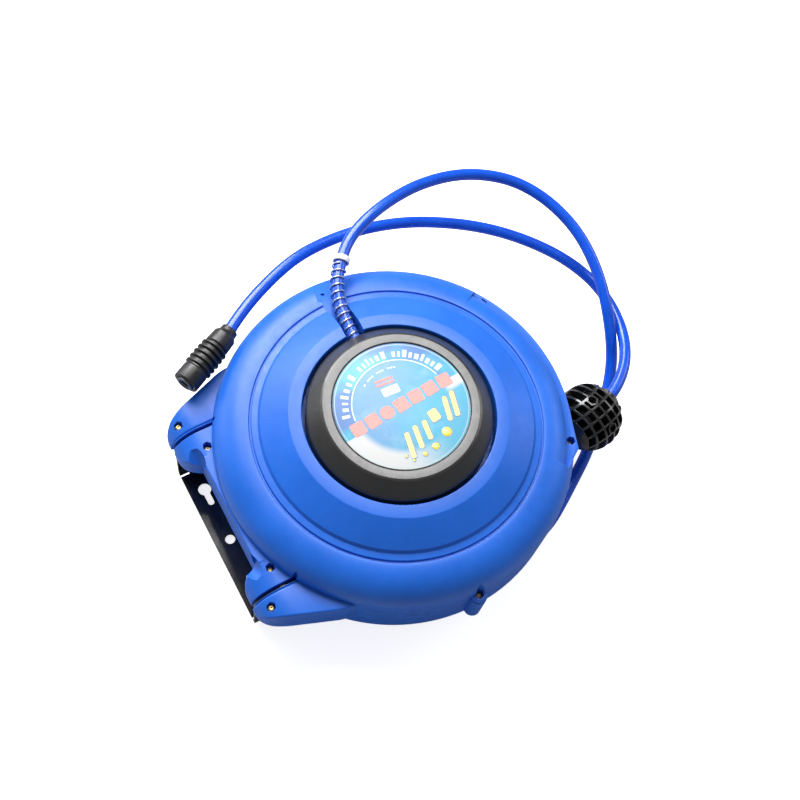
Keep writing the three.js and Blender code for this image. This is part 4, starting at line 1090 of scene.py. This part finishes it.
for x, y, r in DOTS:
    top = LABEL_TOP + YELLOW_THICK
    dot = fillet([(0, PRINT_BASE), (r, PRINT_BASE), (r, top, 0.08), (0, top)], 2)
    yellow.append(shift(lathe(dot, 40), x, y, 0))
    top, r = LABEL_TOP + OUTLINE_THICK, r + 0.6
    shadow = [(0, PRINT_BASE), (r, PRINT_BASE), (r, top), (0, top)]
    outline.append(shift(lathe(shadow, 40), x + 0.2, y - 0.2, 0))
print_piece("yellow", yellow)
print_piece("outline", outline)

# ------------------------------------------------------------------ ball stopper
# Ball frame: x along the hose, y and z rolled about it; the halves meet at its z = 0.
RIB_HALF = 0.95
RIB_PITCH_X, RIB_PITCH_Y = 9.25, 10.72
SCREW_X, SCREW_Y = -0.5, 17.4
ball_centre = along(BALL_AT)
roll = radians(BALL_ROLL)
side, up = Vector(SIDE_DIR), Vector((0, 0, 1))
BALL = axes_matrix(Vector(PULL_DIR), side * cos(roll) + up * sin(roll),
                   side * -sin(roll) + up * cos(roll), ball_centre)
seat_cut = shift(turned(box(-60, -SEAT, -60, 60, -60, 60), FACE_DEG), *ball_centre)
seat_slab = moved(shift(turned(box(-SEAT - 1, -SEAT + 2.0, -60, 60, -60, 60), FACE_DEG),
                        *ball_centre), BALL.inverted())


def ball_half(extent, rim, screw_pocket):
    """Ribbed dome over a solid core; each argument is a (low, high) range of ball z."""
    skin = ball(BALL_R, 128, 64)
    plates = []
    for k in range(-2, 3):
        x = k * RIB_PITCH_X - 0.2
        plates.append(box(x - RIB_HALF, x + RIB_HALF, -50, 50, *extent))
    for k in range(-2, 3):
        y = k * RIB_PITCH_Y
        plates.append(box(-50, 50, y - RIB_HALF, y + RIB_HALF, *extent))
    for s in (-1, 1):
        plates.append(cyl(5.6, *extent, SCREW_X, s * SCREW_Y, 6, turn=pi / 6))
    # plain collars at both ends of the bore, and a rim along the joint
    plates += [box(-50, -25.2, -50, 50, *extent), rod((24, 0, 0), (50, 0, 0), 13, 64),
               box(-50, 50, -50, 50, *rim)]
    half = box(-60, 60, -60, 60, *extent)
    body = overlap(join(ball(23.5, 64, 32), overlap(join(*plates), skin)), half)
    body = overlap(body, skin)
    # plain seat against the outlet face
    body = join(body, overlap(overlap(seat_slab, skin), half))
    drills = []
    for s in (-1, 1):
        drills += [cyl(4.3, *screw_pocket, SCREW_X, s * SCREW_Y, 6, turn=pi / 6),
                   cyl(2.15, -30, 30, SCREW_X, s * SCREW_Y, 24)]
    body = cut(body, rod((-45, 0, 0), (1, 0, 0), BORE_R),
               rod((-4, 0, 0), (42, 0, 0), BORE_R, 48, 9.8), *drills)
    return cut(moved(body, BALL), seat_cut)


piece("ball_upper", ball_half(extent=(0.15, 60), rim=(0.15, 2.0), screw_pocket=(14.9, 60)),
      "ball_black", "ball_half_front", "work_hose", angle=30)
piece("ball_lower", ball_half(extent=(-60, -0.15), rim=(-2.0, -0.15), screw_pocket=(-60, -19.6)),
      "ball_black", "ball_half_rear", "work_hose", angle=30)
BALL_SCREW = [(0, -19), (1.2, -19, 0.2), (1.8, -17, 0.4), (1.8, 15.4), (3.2, 15.4, 0.3),
              (3.2, 17.3, 0.6), (2.0, 18, 0.6), (0, 18)]
for i, s in ((1, 1), (2, -1)):
    screw = cut(lathe(fillet(BALL_SCREW, 4), 40), cyl(1.5, 16.4, 20, seg=6))
    piece("ball_screw_%d_fine" % i, moved(shift(screw, SCREW_X, s * SCREW_Y, 0), BALL),
          "steel", "ball_screw_%d" % i, "work_hose")

# ------------------------------------------------------------------ hoses
run_path = np.array([along(0.2 + (BALL_AT - 3.2) * k / 40) for k in range(41)])
piece("work_hose_straight", tube(run_path, HOSE_R, 48), "hose_blue", "work_hose_run",
      "work_hose", angle=50)

# centre line from the ball round to the coupler
LOOP = [
    along(BALL_AT + 2), along(BALL_AT + 16), along(BALL_AT + 29), (228.6, -52.2, 64),
    (241.1, -44, 63.5), (255.4, -32.5, 62), (267.5, -17.6, 59), (277.5, -1.5, 55),
    (284.8, 17.3, 51.5), (288.9, 36.7, 49.5), (289.5, 56.7, 49), (286.4, 76, 49.5),
    (279.4, 94.8, 51), (269.5, 112.3, 53), (257.4, 129, 55), (228.9, 157.7, 60),
    (194.2, 181.7, 66), (154.3, 200.1, 73), (127.9, 208.4, 78), (95, 214.7, 83),
    (65.4, 216.4, 88), (30.4, 214.9, 92), (0, 209, 96.5), (-32, 197, 99.5),
    (-65, 180.5, 102.5), (-85.2, 168, 103.8), (-98, 159.05, 104)]
loop_path = smoothed(curve(LOOP, 3.0)[0], 30)
loop = piece("work_hose_free", tube(loop_path, HOSE_R, 48), "hose_blue", "work_hose_loop",
             body=None, angle=50)

# centre line from the hub to the plug; the first points lie on a line from the axis
INLET_SLOPE = 1.4 / 97.8
INLET = [(INLET_SLOPE * y, y, 126.0) for y in (46, 60, 80)] + [
    (1.4, 97.8, 126), (2.3, 111.4, 126.5), (5, 128.6, 128), (9.7, 142.8, 129),
    (15.8, 154, 130), (22.7, 162.8, 130.5), (27.7, 168.9, 131), (41.3, 183, 132),
    (60.5, 194.5, 133), (84.3, 203.9, 133), (108.9, 210.9, 131), (136.3, 215.7, 128),
    (165.6, 216.4, 124), (190.7, 213.2, 120), (216.9, 204.6, 115), (242.8, 188.9, 109),
    (262.2, 166.6, 103), (276.2, 138.4, 96), (283, 109.5, 89), (282.9, 78.2, 81.5),
    (278.3, 49.6, 73.5), (272.5, 26.5, 64), (267.3, 5.8, 50), (260.6, -13.3, 34),
    (246.3, -33.5, 22), (220.5, -58.1, 14), (190.2, -83.8, 9.5), (163.2, -101.7, 7.4),
    (137.9, -117.8, 6.8), (118.2, -129, 6.8), (95.8, -136.8, 6.8), (78, -141.4, 6.8)]
inlet_path = smoothed(curve(INLET, 2.5)[0], 20)
piece("inlet_hose_fine", tube(inlet_path, HOSE_R, 48), "hose_blue", "inlet_hose",
      material=HOSE_BRAID, angle=50)

# guard: a close helix of round wire and the collar past its end
GUARD_START, GUARD_END = 40.0, 125.0
GUARD_TURNS, TURN_STEPS = 11, 28
HELIX_R, WIRE_R = 7.0, 0.78
fine_path, spacing = curve(INLET, 0.5)
fine_path = smoothed(fine_path, 400)
fine_frames = frames(fine_path)
wire = []
for i in range(GUARD_TURNS * TURN_STEPS + 1):
    fraction = i / (GUARD_TURNS * TURN_STEPS)
    distance = GUARD_START + (GUARD_END - GUARD_START) * fraction
    j = min(len(fine_path) - 2, int(distance / spacing))
    tangent = fine_frames[j][0]
    upward = np.array([0, 0, 1.0]) - tangent * tangent[2]
    upward /= np.linalg.norm(upward)
    sideways = np.cross(tangent, upward)
    angle = 2 * pi * GUARD_TURNS * fraction
    wire.append(fine_path[j] + upward * HELIX_R * cos(angle) + sideways * HELIX_R * sin(angle))
piece("guard_wire_fine", tube(np.array(wire), WIRE_R, 12, ends=0.3), "guard_wire",
      "guard_wire", angle=60)
collar_start, collar_end = (fine_path[int(d / spacing)] for d in (128.5, 134.5))
collar = lathe(fillet([(6.55, 0, 0.3), (8.3, 0, 0.7), (8.5, 3, 0.5), (8.3, 6, 0.7),
                       (6.55, 6, 0.3)], 5), 64)
piece("guard_collar_fine", moved(collar, axis_matrix(collar_start, collar_end)),
      "guard_collar", "guard_collar")

# plug at the tail of the inlet hose: a hexagon and a grooved spigot
tail = np.array(INLET[-1])
tail_dir = tail - np.array(INLET[-2])
tail_dir /= np.linalg.norm(tail_dir)
spigot = lathe(fillet([
    (2.6, 9.6, 0.1), (5.3, 9.6, 0.1), (5.3, 11.0, 0.3), (4.7, 11.4, 0.2), (4.7, 12.2, 0.2),
    (5.4, 12.6, 0.2), (5.4, 14.6, 0.2), (4.9, 15.0, 0.2), (4.9, 15.8, 0.2), (5.4, 16.2, 0.2),
    (5.4, 19.2, 0.7), (2.6, 20, 0.3)], 3), 48)
hexagon = cut(soft(cyl(6.6, 0.4, 10, seg=6), 0.45, 3), cyl(2.6, 6, 12, seg=32))
piece("inlet_plug_fine", moved(join(hexagon, spigot), axis_matrix(tail, tail + tail_dir)),
      "brass", "inlet_plug")

# ------------------------------------------------------------------ quick coupler
coupler_at = np.array([-96.2, 160, 104.0])
COUPLER = axis_matrix(coupler_at, coupler_at + SLEEVE_DIR)
RIDGE_TOPS = (13.8, 14.0, 14.3, 14.3, 14.2)
RIDGE_ROOTS = (11.0, 11.3, 11.4, 11.5, 11.6, 11.8)
RIDGE_START, RIDGE_PITCH = 23.2, 6.0
profile = [(8.5, 0, 0.3), (8.9, 5, 1.5), (11.6, 9, 1.5), (12.3, 21.6, 0.8),
           (10.9, RIDGE_START, 0.5)]
for k, top in enumerate(RIDGE_TOPS):
    z = RIDGE_START + RIDGE_PITCH * k
    profile += [(RIDGE_ROOTS[k], z + 1.0, 0.4), (top, z + 1.9, 0.55), (top, z + 3.6, 0.55),
                (RIDGE_ROOTS[k + 1], z + 4.6, 0.4)]
profile += [(11.9, 53.2, 0.4), (12.9, 54.8, 0.8), (12.9, 70, 0.9),
            (9.1, 70, 0.3), (9.1, 28.4), (7.5, 28.4), (7.5, 0, 0.3)]
piece("coupler_sleeve_fine", moved(lathe(fillet(profile, 4), 96), COUPLER), "sleeve_rubber",
      "coupler_sleeve", "release_sleeve", angle=50)
socket = lathe(fillet([
    (0, 8), (7, 8, 0.5), (7, 29, 0.2), (8.6, 29, 0.4), (8.6, 72, 0.8), (6.4, 72, 0.4),
    (5.0, 70.2, 0.4), (5, 50), (3.2, 49), (0, 49)], 4), 80)
piece("coupler_socket", moved(socket, COUPLER), "spring_steel", "coupler_body")

# ------------------------------------------------------------------ wall bracket
OUT_Y = EAR_Y + PLATE / 2       # outer face of an ear
IN_Y = OUT_Y - PLATE
BACK_Z, EAR_TOP = 3.0, 100.0
BRACKET_X0, BRACKET_X1 = -190.5, -139.5
HOLE_X = -175
channel = prism_yz(fillet([
    (-OUT_Y, EAR_TOP), (-OUT_Y, BACK_Z, 3.0), (OUT_Y, BACK_Z, 3.0), (OUT_Y, EAR_TOP),
    (IN_Y, EAR_TOP), (IN_Y, BACK_Z + PLATE, 0.8), (-IN_Y, BACK_Z + PLATE, 0.8),
    (-IN_Y, EAR_TOP)], 6), BRACKET_X0, BRACKET_X1)
ear_angles = [pi - pi * i / 48 for i in range(49)]
ear = [(BRACKET_X0, BACK_Z - 1)]
ear += [(PIVOT_X + 25.5 * cos(a), PIVOT_Z + 19.5 * sin(a)) for a in ear_angles]
ear += [(BRACKET_X1, BACK_Z - 1)]
bracket = overlap(channel, prism_xz(ear, -100, 100))


def keyhole(side):
    y0, y1 = sorted((side * 58, side * 43))
    return join(cyl(6.5, 0, 8, HOLE_X, side * 58, 64), box(-178.2, -171.8, y0, y1, 0, 8),
                cyl(3.2, 0, 8, HOLE_X, side * 43))


bracket = cut(
    bracket, keyhole(1), keyhole(-1), cyl(5, 0, 8, HOLE_X, 0),
    rod((PIVOT_X, -100, PIVOT_Z), (PIVOT_X, 100, PIVOT_Z), 4.35),
    box(-195, -181, OUT_Y - 6.5, OUT_Y - 4, 0, 8),
    box(-195, -181, -OUT_Y + 4, -OUT_Y + 6.5, 0, 8))
piece("wall_bracket_fine", bracket, "bracket_paint", "wall_bracket", "bracket", angle=30)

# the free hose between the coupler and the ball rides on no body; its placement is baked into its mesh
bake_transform(loop)

# ------------------------------------------------------------------ stage, in metres
FLOOR_Z = min(CAD_BOX[0][2], 0.0) - 0.0003
FLOOR_HALF = 14.0


def floor_material():
    """White paper that glows to the camera and looks grey in reflections."""
    m = Material("floor_paper")
    rays = m.node("ShaderNodeLightPath").outputs
    clouds = m.mottle(scale=3, detail=4, roughness=0.5, span=(0.3, 0.7))
    paper = m.mix(clouds, (0.92, 0.92, 0.92, 1), (0.94, 0.94, 0.94, 1))
    color = m.mix(rays["Is Glossy Ray"], paper, (0.36, 0.36, 0.36, 1))
    grain = m.noise(scale=900, detail=3, roughness=0.6)
    return m.surface(color, 0.9, m.bump(grain, distance=0.00002, strength=0.4),
                     Specular_IOR_Level=0.1, Emission_Color=(1, 1, 1, 1),
                     Emission_Strength=m.times(rays["Is Camera Ray"], 0.78))


floor_mesh = bpy.data.meshes.new("floor")
floor_mesh.from_pydata([(x * FLOOR_HALF, y * FLOOR_HALF, FLOOR_Z)
                        for x, y in ((-1, -1), (1, -1), (1, 1), (-1, 1))], [], [(0, 1, 2, 3)])
floor = bpy.data.objects.new("floor", floor_mesh)
bpy.context.scene.collection.objects.link(floor)
floor.data.materials.append(floor_material())

# the world is brighter to the camera than as a light
WORLD_LIGHT, WORLD_SEEN = 0.24, 0.93
world = bpy.data.worlds.new("studio")
bpy.context.scene.world = world
world.use_nodes = True
nodes, links = world.node_tree.nodes, world.node_tree.links
background = nodes["Background"]
background.inputs[0].default_value = (0.97, 0.985, 1.0, 1)
ray = nodes.new("ShaderNodeLightPath")
glow = nodes.new("ShaderNodeMapRange")
glow.inputs["To Min"].default_value = WORLD_LIGHT
glow.inputs["To Max"].default_value = WORLD_SEEN
links.new(ray.outputs["Is Camera Ray"], glow.inputs["Value"])
links.new(glow.outputs["Result"], background.inputs[1])


def area(name, location, target, size, power, size_y=None):
    light = bpy.data.lights.new(name, "AREA")
    light.shape = "RECTANGLE"
    light.size, light.size_y = size, size_y or size
    light.energy = power
    obj = bpy.data.objects.new(name, light)
    bpy.context.scene.collection.objects.link(obj)
    obj.location = location
    aim = Vector(target) - Vector(location)
    obj.rotation_euler = aim.to_track_quat("-Z", "Y").to_euler()


area("overhead", location=(0.50, 0.62, 1.75), target=(0.0, 0.0, 0.12), size=0.75, power=16)
area("key", location=(0.05, 1.60, 1.55), target=(0.02, 0.05, 0.08), size=1.25, power=62)
area("left", location=(-1.0, 1.7, 0.60), target=(-0.05, 0.0, 0.1), size=1.2, size_y=0.8, power=9)
area("right", location=(1.75, -0.15, 0.95), target=(0.05, 0.0, 0.1), size=0.9, power=6)

camera_data = bpy.data.cameras.new("camera")
camera = bpy.data.objects.new("camera", camera_data)
bpy.context.scene.collection.objects.link(camera)
view = Vector((0.2843, 0.3194, -0.904)).normalized()
right = Vector((0.8707, -0.4806, 0.104))
right = (right - view * right.dot(view)).normalized()
camera.matrix_world = axes_matrix(right, right.cross(view), -view, (-0.3178, -0.3528, 1.1656))
camera_data.lens = 55.37
camera_data.sensor_width = 36
camera_data.clip_start, camera_data.clip_end = 0.01, 50
bpy.context.scene.camera = camera
bpy.context.scene.view_settings.view_transform = "Standard"
bpy.context.scene.view_settings.look = "None"
bpy.context.scene.view_settings.exposure = 0.0
